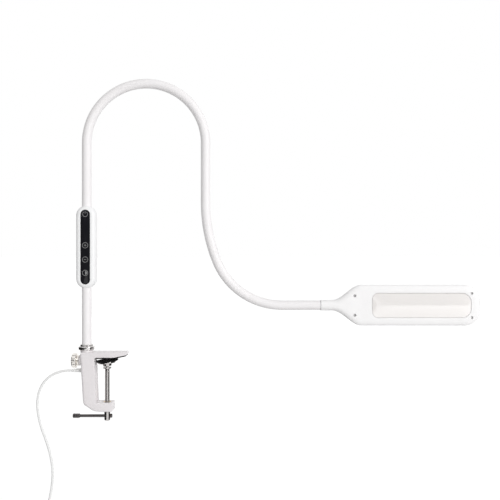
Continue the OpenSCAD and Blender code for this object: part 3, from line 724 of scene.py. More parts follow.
def ribbed_pad():
    """Rubber foot pad with rings moulded in its gripping face, tilted on the ball."""
    low, top, rib = 4.0, 6.5, 0.5
    profile = [(0, 4.8), (3, 4.8), (3, low), (17.4, low, 0.4), (19, 4.8, 0.5), (19, top, 0.6)]
    for ring in (17.2, 14.6, 12.0, 9.4, 6.8, 4.2):
        profile += [(ring, top, 0.25), (ring - 0.3, top - rib, 0.2),
                    (ring - 1.1, top - rib, 0.2), (ring - 1.4, top, 0.25)]
    pad = turned(eased(profile + [(0, top)], 2), BALL, FOOT_AXIS, 96)
    finished(pad, "foot_pad_ribbed", "rubber_black", "foot_pad", 30)


def steel_cup():
    """Steel cup that snaps over the ball and carries the pad."""
    cup = turned(eased([
        (3.7, 4.0), (3.7, 2.58), (4.52, 0.7), (4.6, 0), (4.5, -0.9), (4.0, -2.2), (4.0, -3.5, 0.3),
        (7.5, -3.5, 0.6), (7.5, 1.0, 0.8), (14.0, 1.5, 0.8), (15.0, 1.5, 0.5), (15.0, 4.0, 0.5)
    ], 3, True), BALL, FOOT_AXIS, 96, True)
    finished(cup, "foot_cup_turned", "screw_steel", "foot_cup")


def thread_form(angle):
    """Height of the thread's form at a turn of angle, from 0 in the root to 1 at the crest."""
    root, flank = 0.03, 0.14
    share = angle / (2 * pi) % 1.0
    ramp = 1 - abs(2 * share - 1)
    return min(1.0, max(0.0, (ramp - root) / flank))


def threaded_rod(radius, depth, pitch, low, high):
    """A threaded rod along Z with both ends tapered; a closed mesh."""
    ease, steps, rows = 1.5, 32, 16
    count = max(2, round((high - low) / pitch * rows))
    rings = []
    for i in range(count + 1):
        z = low + (high - low) * i / count
        taper = min(1.0, min(z - low, high - z) / ease + 0.02)
        ring = []
        for j in range(steps):
            angle = 2 * pi * j / steps
            r = radius - depth + depth * thread_form(2 * pi * z / pitch - angle) * taper
            ring.append(Vector((r * cos(angle), r * sin(angle), z)) * MM)
        rings.append(ring)
    return skin(rings)


def thumb_screw():
    """Threaded spindle with a ball at its top and a rounded hub with a cross hole below."""
    thread = threaded_rod(radius=4.0, depth=0.4, pitch=1.25, low=HUB_TOP, high=BALL_Z - 11.3)
    stem = eased([
        (0, BALL_Z - 13), (3.9, BALL_Z - 13), (3.9, BALL_Z - 8.4, 0.6), (2.5, BALL_Z - 7.5, 0.3),
        (2.5, BALL_Z - 3.6)
    ])
    ball = [
        Vector((BALL_R * cos(a), BALL_Z + BALL_R * sin(a)))
        for a in (radians(-54 + 144 * i / 16) for i in range(17))
    ]
    hub = turned(eased([
        (0, HUB_LOW), (2.4, HUB_LOW, 1.0), (5.0, HUB_LOW + 1.4, 2.8), (5.0, HUB_TOP - 1, 0.8),
        (4.2, HUB_TOP, 0.3), (0, HUB_TOP)
    ], 6), ORIGIN, UP, 64)
    bore = BAR_R + 0.05
    hole = turned([(0, -20), (bore, -20), (bore, 20), (0, 20)], BAR_CENTRE, RIGHT, 40)
    mesh = joined(thread, turned(stem + ball, ORIGIN, UP, 48), cut(hub, [hole]))
    finished(mesh, "clamp_screw_threaded", "screw_steel", "clamp_screw", 38)


def tommy_bar():
    """Cross bar with a grooved grip on one end and a stop on the other."""
    left, right, inside = -46.7, 5.3, 2.0
    low, high = left - inside, right + inside
    rod = eased([(0, low), (BAR_R, low, 0.3), (BAR_R, high, 0.3), (0, high)], 2)
    finished(turned(rod, BAR_CENTRE, RIGHT, 40), "bar_rod", "bar_steel", "tommy_bar")
    grip = [(BAR_R, left), (3.2, left, 0.4), (3.8, left - 0.8, 0.4)]
    for groove in (left - 2.6, left - 5.2, left - 7.8):
        grip += [(3.8, groove + 0.5, 0.2), (3.3, groove + 0.2, 0.2),
                 (3.3, groove - 0.2, 0.2), (3.8, groove - 0.5, 0.2)]
    grip += [(3.8, left - 10.6, 0.5), (3.0, left - 11.5, 0.4), (0, left - 11.5), (0, low), (BAR_R, low)]
    stop = [(BAR_R, right), (3.4, right, 0.3), (3.4, right + 2.5, 0.5), (2.7, right + 3.2, 0.4),
            (0, right + 3.2), (0, high), (BAR_R, high)]
    caps = [turned(eased(cap, 3, True), BAR_CENTRE, RIGHT, 56, True) for cap in (grip, stop)]
    finished(joined(*caps), "bar_grips", "bar_steel", "bar_caps")


# ---------- lock screw, collar and mast ----------

SLEEVE_R, SLEEVE_BORE = 8.0, 6.0


def fluted(count, flute_r, centre_out, first, last):
    """Radius of a grip with round flutes between two heights."""
    def shape(radius, height, angle):
        if not first <= height <= last:
            return radius
        share = (angle * count / (2 * pi) + 0.5) % 1.0 - 0.5
        swing = 2 * pi * share / count
        inner = centre_out * cos(swing)
        reach = flute_r ** 2 - (centre_out * sin(swing)) ** 2
        return min(radius, inner - sqrt(reach)) if reach > 0 else radius
    return shape


def lock_knob():
    """Chromed fluted knob on a threaded stud, with a dished end."""
    knob_l, flutes = 12.0, 16
    low, tip = span("lock_knob", "x")
    root = Vector((low + knob_l, 0, -4.0)) * MM
    grip = fluted(flutes, flute_r=1.5, centre_out=13.25, first=4.3, last=11.8)
    knob = turned(eased([
        (0, 0), (9.0, 0, 0.4), (9.0, 2.6, 0.6), (7.6, 3.3, 0.4), (7.6, 4.0, 0.2), (11.2, 4.0, 0.5),
        (12.5, 5.2, 0.6), (12.5, 10.8, 0.8), (11.2, knob_l, 0.5), (8.6, knob_l, 0.4), (7.4, 11.1, 0.8),
        (0, 11.1)
    ], 4), root, Vector((-1, 0, 0)), flutes * 14, flute=grip)
    stud = threaded_rod(radius=2.95, depth=0.5, pitch=1.0, low=-0.5, high=tip - low - knob_l)
    stud.transform(Matrix.Translation(root) @ Matrix.Rotation(radians(90), 4, "Y"))
    finished(joined(knob, stud), "lock_knob_fluted", "knob_chrome", "lock_knob", 28)


def collar():
    """Chromed collar with a waist line."""
    low, high = span("collar_ring", "z")
    ring = turned(eased([
        (SLEEVE_BORE, low), (12.8, low, 0.4), (13.5, low + 0.7, 0.4), (13.5, low + 1.4, 0.15),
        (13.2, low + 1.6, 0.1), (13.2, low + 1.8, 0.1), (13.5, low + 2.0, 0.15), (13.5, high - 0.8, 0.5),
        (12.6, high, 0.4), (SLEEVE_BORE, high)
    ], 4, True), mast_foot, UP, 96, True)
    finished(ring, "collar_turned", "collar_chrome", "collar_ring")


def collar_nut():
    """Fine-knurled nut on the collar."""
    low, high = span("collar_nut", "z")
    ridges = 60
    knurl = fluted(ridges, flute_r=0.34, centre_out=10.62, first=low + 0.6, last=high - 0.7)
    nut = turned(eased([
        (SLEEVE_BORE, low), (10.2, low, 0.3), (10.5, low + 0.5, 0.2), (10.5, high - 0.6, 0.3),
        (10.0, high, 0.4), (SLEEVE_BORE, high)
    ], 3, True), mast_foot, UP, ridges * 6, True, knurl)
    finished(nut, "collar_nut_knurled", "collar_chrome", "collar_nut", 28)


def sleeve_on_mast():
    low, high = span("mast_sleeve", "z")
    tube = eased([(SLEEVE_BORE, low), (SLEEVE_R, low, 0.35), (SLEEVE_R, high), (SLEEVE_BORE, high)], 3, True)
    finished(turned(tube, mast_foot, UP, 64, True), "mast_sleeve_silicone", "silicone_white", "mast_sleeve")


# ---------- control housing ----------

BOX_W, BOX_H, BOX_WALL, BOX_FACE = 33.0, 139.5, 2.0, 11.0
PANEL_W, PANEL_H, PANEL_GAP = 16.0, 126.0, 0.25
BOX_SCREWS = [(10.5, 45.0), (-10.5, 45.0), (10.5, -45.0), (-10.5, -45.0)]
TOUCH_Z = {"power": 55.5, "plus": 3.0, "minus": -21.0, "tint": -43.5}


def stadium(wide, high, arc=14):
    return round_rect(wide, high, wide / 2 - 0.01, 0, arc)


def on_places(places, centre):
    """Points beside a centre, at its depth, for places (across, up) in millimetres."""
    return [centre + Vector((x, 0, z)) * MM for x, z in places]


def box_side(side, levels):
    """Rings of one half of the housing: each level is (inset across, inset along, depth)."""
    return [
        [box_centre + Vector((x, side * y, z)) * MM
         for x, z in stadium(BOX_W - 2 * across, BOX_H - 2 * along)]
        for across, along, y in levels
    ]


def rounding(radius, start):
    """Levels of a quarter round from depth start outwards."""
    return [(radius * (1 - cos(a)), radius * (1 - cos(a)), start + radius * sin(a)) for a in quarter_turn(7)]


def box_knives(side):
    """Room for the two sleeves and, in the back, the screws."""
    bore, reach = SLEEVE_R + 0.05, 7
    knives = [turned([(0, z - reach), (bore, z - reach), (bore, z + reach), (0, z + reach)],
                     box_centre, UP, 64) for z in (-BOX_H / 2, BOX_H / 2)]
    hole = [(0, 7.8), (2.3, 7.8), (2.3, 11.2), (2.7, 11.6), (2.7, 12), (0, 12)]
    if side > 0:
        knives += [turned(hole, place, BACK, 32) for place in on_places(BOX_SCREWS, box_centre)]
    return knives


def posts(side, places, centre, top):
    """Hollow posts that the screws run into."""
    bore, radius, seam = 1.2, 2.5, 0.1
    profile = [(bore, seam), (radius, seam), (radius, top), (bore, top)]
    return [turned(profile, place, Vector((0, side, 0)), 24, True) for place in on_places(places, centre)]


def housing_shells():
    """The two shells; the front one has a stepped mouth for the panel."""
    outer_r, inner_r = 6.0, 4.4
    seam = [(0.25, 0.25, 0.03), (0, 0, 0.3)]
    outer = rounding(outer_r, BOX_FACE - outer_r)
    inner = [(BOX_WALL + across, BOX_WALL + along, y)
             for across, along, y in rounding(inner_r, BOX_FACE - BOX_WALL - inner_r)][::-1]
    inner_seam = [(BOX_WALL, BOX_WALL, 0.03)]
    across, along = (BOX_W - PANEL_W) / 2 - PANEL_GAP, (BOX_H - PANEL_H) / 2 - PANEL_GAP
    mouth = [
        (across + inset, along + inset, BOX_FACE - drop)
        for inset, drop in ((0, 0), (0.15, 0.1), (0.15, 1.1), (2.25, 1.1), (2.25, BOX_WALL))
    ]
    front = cut(skin(box_side(-1, seam + outer + mouth + inner + inner_seam), True), box_knives(-1))
    front = joined(front, *posts(-1, BOX_SCREWS, box_centre, 9.4))
    finished(front, "housing_front", "housing_white", "control_front", 32)
    back = cut(skin(box_side(1, outer[::-1] + seam[::-1] + inner_seam + inner[::-1])), box_knives(1))
    back = joined(back, *posts(1, BOX_SCREWS, box_centre, 7.9))
    finished(back, "housing_back", "housing_white", "control_back", 32)


def panel():
    slab = plate(lambda inset: stadium(PANEL_W - 2 * inset, PANEL_H - 2 * inset, 16), box_centre,
                 -11.2, -10.0, 0.5, 0.1)
    finished(slab, "touch_panel_gloss", "panel_black", "touch_panel")


INK_FRONT, INK_BACK, LINE_W = -11.22, -11.19, 0.75


def band(radius, width, first, last, centre, steps=40):
    """A flat printed ring or part of one, facing forwards; angles in degrees from the top."""
    whole = last - first >= 360
    inner, outer = radius - width / 2, radius + width / 2
    rings = []
    for j in range(steps if whole else steps + 1):
        angle = radians(first + (last - first) * j / steps)
        rings.append([
            centre + Vector((r * sin(angle), y, r * cos(angle))) * MM
            for r, y in ((inner, INK_BACK), (outer, INK_BACK), (outer, INK_FRONT), (inner, INK_FRONT))
        ])
    return skin(rings, whole)


def bar(z, wide, high, centre):
    return plate(lambda inset: round_rect(wide, high, min(wide, high) * 0.45, inset, 3),
                 centre + Vector((0, 0, z)) * MM, INK_FRONT, INK_BACK)


def icons():
    """Printed touch marks: on and off, brighter, dimmer, and the colour of the light."""
    power, plus, minus, tint = on_places([(0, z) for z in TOUCH_Z.values()], box_centre)
    marks = [band(4.2, LINE_W, 32, 328, power), bar(3.0, LINE_W, 4.4, power)]
    marks += [band(4.6, LINE_W, 0, 360, place) for place in (plus, minus, tint)]
    marks += [bar(0, 4.2, LINE_W, place) for place in (plus, minus)]
    marks += [bar(z, LINE_W, 1.7, plus) for z in (-1.25, 1.25)]
    marks.append(band(1.6, 3.2, 0, 180, tint, 16))
    finished(joined(*marks), "touch_icons", "icon_ink", body="mast")


# ---------- neck ----------

# Each leg is (degrees of turn, radius), or (length, 0) where it is straight.
LEGS = [(107, 0), (90, 101), (90, 101), (101, 0), (-22, 267), (-68, 119), (66, 0)]


def leg_length(turn, radius):
    return radians(abs(turn)) * radius if radius else turn


LEG_L = [leg_length(*leg) for leg in LEGS]
NECK_END = [sum(LEG_L[:k]) for k in range(len(LEGS) + 1)]


def heading_out(heading):
    """The direction of a heading in degrees from straight up."""
    return Vector((sin(radians(heading)), 0, cos(radians(heading))))


def along_neck(way):
    """Place and heading, in degrees from straight up, at a distance along the neck."""
    place = box_centre + Vector((0, 0, BOX_H / 2)) * MM
    heading = 0.0
    for k, (turn, radius) in enumerate(LEGS):
        left = way - NECK_END[k]
        last = k == len(LEGS) - 1 or left <= LEG_L[k]
        share = left if last else LEG_L[k]
        if radius:
            side = copysign(radius, turn)
            a = radians(heading)
            b = a + share / side
            place = place + side * Vector((cos(a) - cos(b), 0, sin(b) - sin(a))) * MM
            heading = degrees(b)
        else:
            place = place + share * heading_out(heading) * MM
        if last:
            break
    return place, heading


def neck_rings(first, last, radius, step, sides=40):
    """Rings square to the neck between two distances along it."""
    count = max(2, ceil((last - first) / step))
    rings = []
    for i in range(count + 1):
        place, heading = along_neck(first + (last - first) * i / count)
        across = heading_out(heading + 90)
        rings.append([
            place + radius * (across * cos(t) + BACK * sin(t)) * MM
            for t in (2 * pi * j / sides for j in range(sides))
        ])
    return rings


def neck_body(k):
    return "mast" if k <= 1 else f"neck_{k}"


def neck_spans(start, end):
    """Number and span of each piece, which reach from mid leg to mid leg."""
    middles = [(NECK_END[k] + NECK_END[k + 1]) / 2 for k in range(len(LEGS))]
    marks = [start] + middles + [end]
    return [(k, marks[k], marks[k + 1]) for k in range(len(LEGS) + 1)]


def on_neck(thing, k, node):
    """Hides the CAD node that piece k stands for, if k is not 0; the first and last pieces ride with their bodies,
    the others stay fixed where they are.
    """
    if k:
        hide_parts(f"{node}_{k}")
    if k in (0, len(LEGS)):
        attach(thing, neck_body(k))
        return
    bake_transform(thing)


def neck_sleeves():
    """The silicone sleeve over the bending core, one piece round each bending point."""
    for k, first, last in neck_spans(-6.0, NECK_END[-1] - 0.9):
        outer, inner = (neck_rings(first, last, radius, step=5.0) for radius in (SLEEVE_R, SLEEVE_BORE))
        tube = finished(skin(outer + inner[::-1], True), f"neck_skin_{k}", "silicone_white")
        on_neck(tube, k, "neck_sleeve")


class Pattern(Tree):
    """A Geometry Nodes tree with named sizes; what it makes becomes a plain mesh."""

    def __init__(self, name, **sizes):
        group = bpy.data.node_groups.new(name, "GeometryNodeTree")
        super().__init__(group)
        self.sizes = {}
        group.interface.new_socket("Base", in_out="INPUT", socket_type="NodeSocketGeometry")
        for size, value in sizes.items():
            kind = "NodeSocketInt" if isinstance(value, int) else "NodeSocketFloat"
            socket = group.interface.new_socket(size, in_out="INPUT", socket_type=kind)
            self.sizes[size] = (socket.identifier, value)
        group.interface.new_socket("Made", in_out="OUTPUT", socket_type="NodeSocketGeometry")
        self.entry = group.nodes.new("NodeGroupInput")

    def size(self, name):
        return Wire(self, self.entry.outputs[name])

    def point(self, x, y, z):
        return self.node("ShaderNodeCombineXYZ", {}, {0: x, 1: y, 2: z})

    def vector(self, operation, *given):
        return self.node("ShaderNodeVectorMath", {"operation": operation}, dict(enumerate(given)))

    def scaled(self, vector, scale):
        return self.node("ShaderNodeVectorMath", {"operation": "SCALE"}, {0: vector, "Scale": scale})

    def grid(self, wide, high, columns, place):
        """Points two high on an upright grid."""
        flat = self.node("GeometryNodeMeshGrid", {}, {
            "Size X": wide, "Size Y": high, "Vertices X": columns, "Vertices Y": 2
        })
        return self.node("GeometryNodeTransform", {}, {
            0: flat, "Translation": tuple(place), "Rotation": (pi / 2, 0, 0)
        })

    def on_points(self, points):
        """The base object on each of the points."""
        base = self.size("Base")
        return self.node("GeometryNodeInstanceOnPoints", {}, {"Points": points, "Instance": base})

    def make(self, base, made, coat):
        """Ends the tree, runs it on a mesh and gives the mesh that comes out."""
        real = self.node("GeometryNodeRealizeInstances", {}, {0: made})
        coated = self.node("GeometryNodeSetMaterial", {}, {0: real, "Material": finish[coat].material})
        end = self.tree.nodes.new("NodeGroupOutput")
        self.tree.links.new(coated.socket, end.inputs[0])
        thing = loose(base)
        step = thing.modifiers.new("pattern", "NODES")
        step.node_group = self.tree
        for identifier, value in self.sizes.values():
            step[identifier] = value
        return taken(baked(thing))


def wound(points, radius, wire, pitch, coat):
    """Wire wound round a line of points; sizes in millimetres."""
    path = bpy.data.meshes.new("path")
    path.from_pydata([tuple(p) for p in points], [(i, i + 1) for i in range(len(points) - 1)], [])
    p = Pattern("winding", radius=radius * MM, wire=wire * MM, pitch=pitch * MM, steps=14)
    line = p.node("GeometryNodeMeshToCurve", {}, {0: p.size("Base")})
    turns = p.node("GeometryNodeCurveLength", {}, {0: line}) / p.size("pitch")
    fine = p.node("GeometryNodeResampleCurve", {}, {0: line, "Count": turns * p.size("steps")})
    turn = p.node("GeometryNodeSplineParameter") * turns * (2 * pi)
    normal = p.node("GeometryNodeInputNormal")
    side = p.vector("CROSS_PRODUCT", p.node("GeometryNodeInputTangent"), normal)
    aside = p.vector(
        "ADD",
        p.scaled(normal, turn.cosine() * p.size("radius")),
        p.scaled(side, turn.sine() * p.size("radius"))
    )
    coil = p.node("GeometryNodeSetPosition", {}, {0: fine, "Offset": aside})
    section = p.node("GeometryNodeCurvePrimitiveCircle", {},
                     {"Resolution": 7, "Radius": p.size("wire") * 0.5})
    tube = p.node("GeometryNodeCurveToMesh", {}, {0: coil, 1: section, "Fill Caps": True})
    return p.make(path, tube, coat)


def neck_inside():
    """Wound bending core and the cable in it, in pieces that match the sleeve's."""
    for k, first, last in neck_spans(-12.0, NECK_END[-1] - 13.0):
        count = max(2, ceil((last - first) / 3.0))
        points = [along_neck(first + (last - first) * i / count)[0] for i in range(count + 1)]
        coil = wound(points, radius=4.6, wire=2.55, pitch=2.75, coat="steel")
        core = finished(coil, f"bending_core_{k}", "steel", sharp=60)
        rings = neck_rings(first, last, radius=2.25, step=6.0, sides=20)
        cable = finished(skin(rings), f"inner_cable_{k}", "cable_grey")
        on_neck(core, k, "neck_core")
        on_neck(cable, k, "neck_cable")


# ---------- head ----------

HEAD_L, STEM_R, STEM_L, FLARE_L, HALF_H, END_R = 270.0, 9.0, 19.0, 50.0, 34.5, 26.0
WINDOW_X, WINDOW_L, WINDOW_H, NEAR_R, FAR_R = 170.0, 167.0, 41.5, 10.0, 15.0
HEAD_WALL, LENS_WALL = 1.9, 1.7
HEAD_SCREWS = [(57.0, 16.4), (57.0, -16.4), (255.0, 20.6), (255.0, -20.6)]


def head_point(x, y, z):
    return head_root + Vector((x, y, z)) * MM


def flare(x):
    """Share of the flare done at x, from 0 at the stem to 1 on the body."""
    return min(1.0, max(0.0, (x - STEM_L) / FLARE_L))


def head_edge():
    """Upper half of the outline, from the stem to the far end: (x, z, normal x, normal z)."""
    edge = []
    flare_end, grown, steps = STEM_L + FLARE_L, HALF_H - STEM_R, 40
    for i in range(steps + 1):
        x = flare_end * (i / steps)
        t = flare(x)
        slope = grown * pi / (2 * FLARE_L) * sin(pi * t)
        size = hypot(1, slope)
        edge.append((x, STEM_R + grown * (1 - cos(pi * t)) / 2, -slope / size, 1 / size))
    for i in range(1, 8):
        edge.append((flare_end + (HEAD_L - END_R - flare_end) * i / 8, HALF_H, 0, 1))
    for a in (radians(90 - 90 * i / 16) for i in range(17)):
        edge.append((HEAD_L - END_R + END_R * cos(a), HALF_H - END_R + END_R * sin(a), cos(a), sin(a)))
    return edge


def head_level(x, share):
    """Inset and depth of the soft edge at x, for a share of its quarter turn."""
    t = flare(x)
    t = t * t * (3 - 2 * t)
    wide, start, deep = 9.0 + 2.0 * t, 0.35 + 2.25 * t, 8.65 - 3.75 * t
    a = pi / 2 * share
    return wide * (1 - cos(a)), start + deep * sin(a)


def head_shell(side):
    """One half of the head: soft edges all round, a flat face, and a thin wall."""
    edge = head_edge()
    count = len(edge)
    seam = [[(0.3, 0.04)] * count, [(0.0, 0.3)] * count]
    levels = seam + [[head_level(x, j / 9) for x, _, _, _ in edge] for j in range(10)]
    points, faces = [], []
    for level in levels:
        row = [(x - nx * inset, side * depth, z - nz * inset)
               for (x, z, nx, nz), (inset, depth) in zip(edge, level)]
        points += [head_point(x, y, z) for x, y, z in row]
        points += [head_point(x, y, -z) for x, y, z in row]

    def strip(a, b):
        """Faces between the points that start at a and the ones that start at b."""
        return [(a + j, a + j + 1, b + j + 1, b + j) for j in range(count - 1)]

    for low in range(0, 2 * count * (len(levels) - 1), 2 * count):
        high = low + 2 * count
        faces += strip(low, high) + strip(low + count, high + count)
        faces.append((low + count - 1, high - 1, high + 2 * count - 1, high + count - 1))
    flat = 2 * count * (len(levels) - 1)
    faces += strip(flat, flat + count)
    return thickened(closed_mesh(points, faces), HEAD_WALL, side, True)


def window_ring(inset, y):
    """The window's outline at depth y; its corners are wider at the far end."""
    line = round_rect(WINDOW_L, WINDOW_H, FAR_R, inset, 10, NEAR_R)
    return [head_point(WINDOW_X + x, y, z) for x, z in line]


def window_knife():
    levels = [(-1.9, -13), (-0.8, -8.3), (-0.75, -7.45), (0.0, -6.8), (0.0, -3.0)]
    return skin([window_ring(inset, y) for inset, y in levels])


def screw_knives():
    hole = [(0, 2), (1.3, 2), (1.3, 5.0), (2.25, 5.0), (2.25, 7.3), (2.9, 8.1), (2.9, 12), (0, 12)]
    return [turned(hole, place, FRONT, 32) for place in on_places(HEAD_SCREWS, head_root)]


def stem_liner(side):
    """Half tube inside the stem that grips the ferrule."""
    rings = []
    for x in (0.4, 20.0):
        ring = []
        for radius, turn in ((7.3, 1), (6.05, -1)):
            angles = [pi * j / 16 for j in range(17)][::turn]
            ring += [head_point(x, side * (radius * sin(a) + 0.05), radius * cos(a)) for a in angles]
        rings.append(ring)
    return skin(rings)


def head_shells():
    front = cut(head_shell(-1), [window_knife()] + screw_knives())
    front = joined(front, stem_liner(-1), *posts(-1, HEAD_SCREWS, head_root, 4.9))
    finished(front, "head_front_shell", "head_white", "head_front", 32)
    back = joined(head_shell(1), stem_liner(1), *posts(1, HEAD_SCREWS, head_root, 5.9))
    finished(back, "head_back_shell", "head_white", "head_back", 32)


def crowned_lens():
    """Domed opal cover with a flange that holds it behind the window."""
    gap, rim_y, rise = 0.5, -7.2, 2.6
    half_l, half_h, near, far = WINDOW_L / 2 - gap, WINDOW_H / 2 - gap, NEAR_R - gap, FAR_R - gap
    x0, x1 = near - half_l, half_l - far
    bend = [sin(a) for a in quarter_turn(8)]
    xs = [x0 - near * b for b in bend[::-1]] + [x0 + (x1 - x0) * i / 20 for i in range(1, 20)]
    xs += [x1 + far * b for b in bend]
    points, count = [], 25
    for x in xs:
        radius, past = (near, x0 - x) if x < 0 else (far, x - x1)
        high = half_h - radius + sqrt(max(0.0, radius ** 2 - max(0.0, past) ** 2))
        for j in range(count):
            z = high * sin(pi * (j / (count - 1) - 0.5))
            lift = (1 - (z / half_h) ** 2) * (1 - abs(x / half_l) ** 5)
            points.append(head_point(WINDOW_X + x, rim_y - rise * lift, z))
    faces = [(i * count + j, i * count + j + 1, (i + 1) * count + j + 1, (i + 1) * count + j)
             for i in range(len(xs) - 1) for j in range(count - 1)]
    dome = thickened(closed_mesh(points, faces), LENS_WALL, -1)
    flange = [window_ring(inset, y) for inset, y in ((2.2, -5.4), (-1.9, -5.4), (-1.9, -4.1), (2.2, -4.1))]
    finished(joined(dome, skin(flange, True)), "lens_crowned", "lens_opal", "lens", 50)


def cross_head():
    """A cross-recessed pan screw head, facing forwards, at the origin."""
    radius, high, slot_l, slot_w = 2.1, 1.3, 2.5, 0.55
    head = turned(eased([(0, 0), (radius, 0, 0.1), (radius, high * 0.55, 0.35), (radius * 0.62, high, 0.3),
                         (0, high)]), ORIGIN, FRONT, 28)
    arms = [plate(lambda inset, w=w, h=h: round_rect(w, h, 0.12, inset, 2), ORIGIN, -high - 0.5, -high + 0.75)
            for w, h in ((slot_l, slot_w), (slot_w, slot_l))]
    return cut(head, arms)


def shanks(places, axis, tip, top):
    profile = eased([(0, tip), (0.7, tip, 0.3), (1.1, tip + 1, 0.3), (1.1, top), (0, top)])
    return [turned(profile, place, axis, 20) for place in places]


def head_screws():
    """Four screws down in their holes in the face of the head."""
    p = Pattern("head_screw_places", near=HEAD_SCREWS[0][0] * MM, near_aside=HEAD_SCREWS[0][1] * MM,
                far=HEAD_SCREWS[2][0] * MM, far_aside=HEAD_SCREWS[2][1] * MM, depth=-5.0 * MM,
                root_x=head_root.x, root_z=head_root.z)
    pairs = []
    for name in ("near", "far"):
        x, aside = p.size("root_x") + p.size(name), p.size(name + "_aside")
        pairs.append(p.node("GeometryNodeMeshLine", {"mode": "OFFSET"}, {
            "Count": 2,
            "Start Location": p.point(x, p.size("depth"), p.size("root_z") - aside),
            "Offset": p.point(0.0, 0.0, aside * 2.0)
        }))
    places = p.node("GeometryNodeJoinGeometry", {}, {0: pairs})
    heads = p.make(cross_head(), p.on_points(places), "screw_dark")
    mesh = joined(heads, *shanks(on_places(HEAD_SCREWS, head_root), FRONT, -1.4, 5.2))
    finished(mesh, "head_screw_set", "screw_dark", "head_screws", 30)


def box_screws():
    """Four screws in the back of the control housing."""
    depth = 7.8
    head = cross_head()
    head.transform(Matrix.Rotation(pi, 4, "Z"))
    p = Pattern("box_screw_places", across=2 * BOX_SCREWS[0][0] * MM, along=2 * BOX_SCREWS[0][1] * MM)
    places = p.grid(p.size("across"), p.size("along"), 2, box_centre + depth * BACK * MM)
    heads = p.make(head, p.on_points(places), "screw_dark")
    mesh = joined(heads, *shanks(on_places(BOX_SCREWS, box_centre), BACK, -4.4, 7.9))
    finished(mesh, "housing_screw_set", "screw_dark", "control_screws", 30)


def light_chips():
    """Two rows of phosphor chips on their board."""
    wide, high, board_y = 3.5, 2.8, 0.2
    chip = joined(
        plate(lambda inset: round_rect(wide, high, 0.2, inset, 2), ORIGIN, -0.55, 0.0, 0.1),
        turned(eased([(0, 0.4), (1.2, 0.4), (1.2, 0.62, 0.1), (0, 0.8)], 2), ORIGIN, FRONT, 16)
    )
    low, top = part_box("led_chips")
    p = Pattern("chip_places", along=top.x - low.x - wide * MM, across=top.z - low.z - high * MM, columns=20)
    places = p.grid(p.size("along"), p.size("across"), p.size("columns"), head_point(WINDOW_X, board_y, 0))
    finished(p.make(chip, p.on_points(places), "led_yellow"), "light_chip_rows", "led_yellow", "led_chips")


# ---------- lead, boards and the rest ----------

def strain_relief():
    """Tapered boot with ribs, over the lead where it enters the clamp."""
    tip, seat = span("lead_boot", "x")
    bore, root, ribs = 2.1, -41.84, 6
    profile = [(bore, seat), (3.0, seat), (3.0, root), (4.0, root, 0.2), (4.0, root - 1.7, 0.5),
               (3.1, root - 1.9, 0.2)]
    step = (root - 3.0 - tip) / ribs
    for i in range(ribs):
        at = root - 3.0 - step * i
        small, big = 2.75 - 0.05 * i, 3.55 - 0.13 * i
        profile += [(small, at, 0.2), (big, at - 0.15, 0.25), (big - 0.05, at - step + 0.95, 0.3),
                    (small, at - step + 0.75, 0.2)]
    profile += [(2.45, tip, 0.15), (bore, tip)]
    boot = turned(eased(profile, 3, True), Vector((0, 0, lead_root.z)), RIGHT, 48, True)
    return finished(boot, "lead_boot_ribbed", "lead_white", "lead_boot", 40)


def connector():
    """Inline connector: tapered neck, grip rings and a flat face round the contacts."""
    radius, end = 4.75, -27.0
    profile = [(0, 0), (2.6, 0, 0.3), (2.9, -1.2, 0.6), (radius, -9.0, 1.6)]
    for i in range(4):
        z = -11.5 - 2.2 * i
        profile += [(radius, z + 0.5, 0.15), (radius - 0.4, z + 0.3, 0.15),
                    (radius - 0.4, z - 0.3, 0.15), (radius, z - 0.5, 0.15)]
    profile += [(radius, end, 0.6), (2.8, end, 0.2), (2.8, end + 9), (0, end + 9)]
    body = turned(eased(profile, 4), plug_top, UP, 64)
    return finished(body, "lead_connector", "lead_white", "connector_body", 32)


def touch_springs():
    """Coil springs that join the touch panel to its board."""
    low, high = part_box("touch_springs")
    springs = []
    for z in TOUCH_Z.values():
        points = [Vector((mast_x, low.y + (high.y - low.y) * i / 8, box_centre.z + z * MM)) for i in range(9)]
        springs.append(wound(points, radius=1.75, wire=0.32, pitch=0.62, coat="steel"))
    finished(joined(*springs), "touch_spring_set", "steel", "touch_springs", 60)


def block(x, z, wide, high, front, back, ease=0.3):
    """A rounded block in the housing."""
    return plate(lambda inset: round_rect(wide, high, 0.5, inset, 2),
                 box_centre + Vector((x, 0, z)) * MM, front, back, 0.05, ease)


def can(x, z, radius, front, back):
    """A round can in the housing, with a groove and a dished top."""
    waist = radius - 0.3
    profile = [(0, front), (radius, front, 0.2), (radius, back - 1.2, 0.15), (waist, back - 0.9, 0.15),
               (waist, back - 0.6, 0.15), (radius, back - 0.4, 0.3), (radius - 0.7, back, 0.3),
               (radius - 1.0, back - 0.25, 0.1), (0, back - 0.25)]
    return turned(eased(profile), box_centre + Vector((x, 0, z)) * MM, BACK, 40)


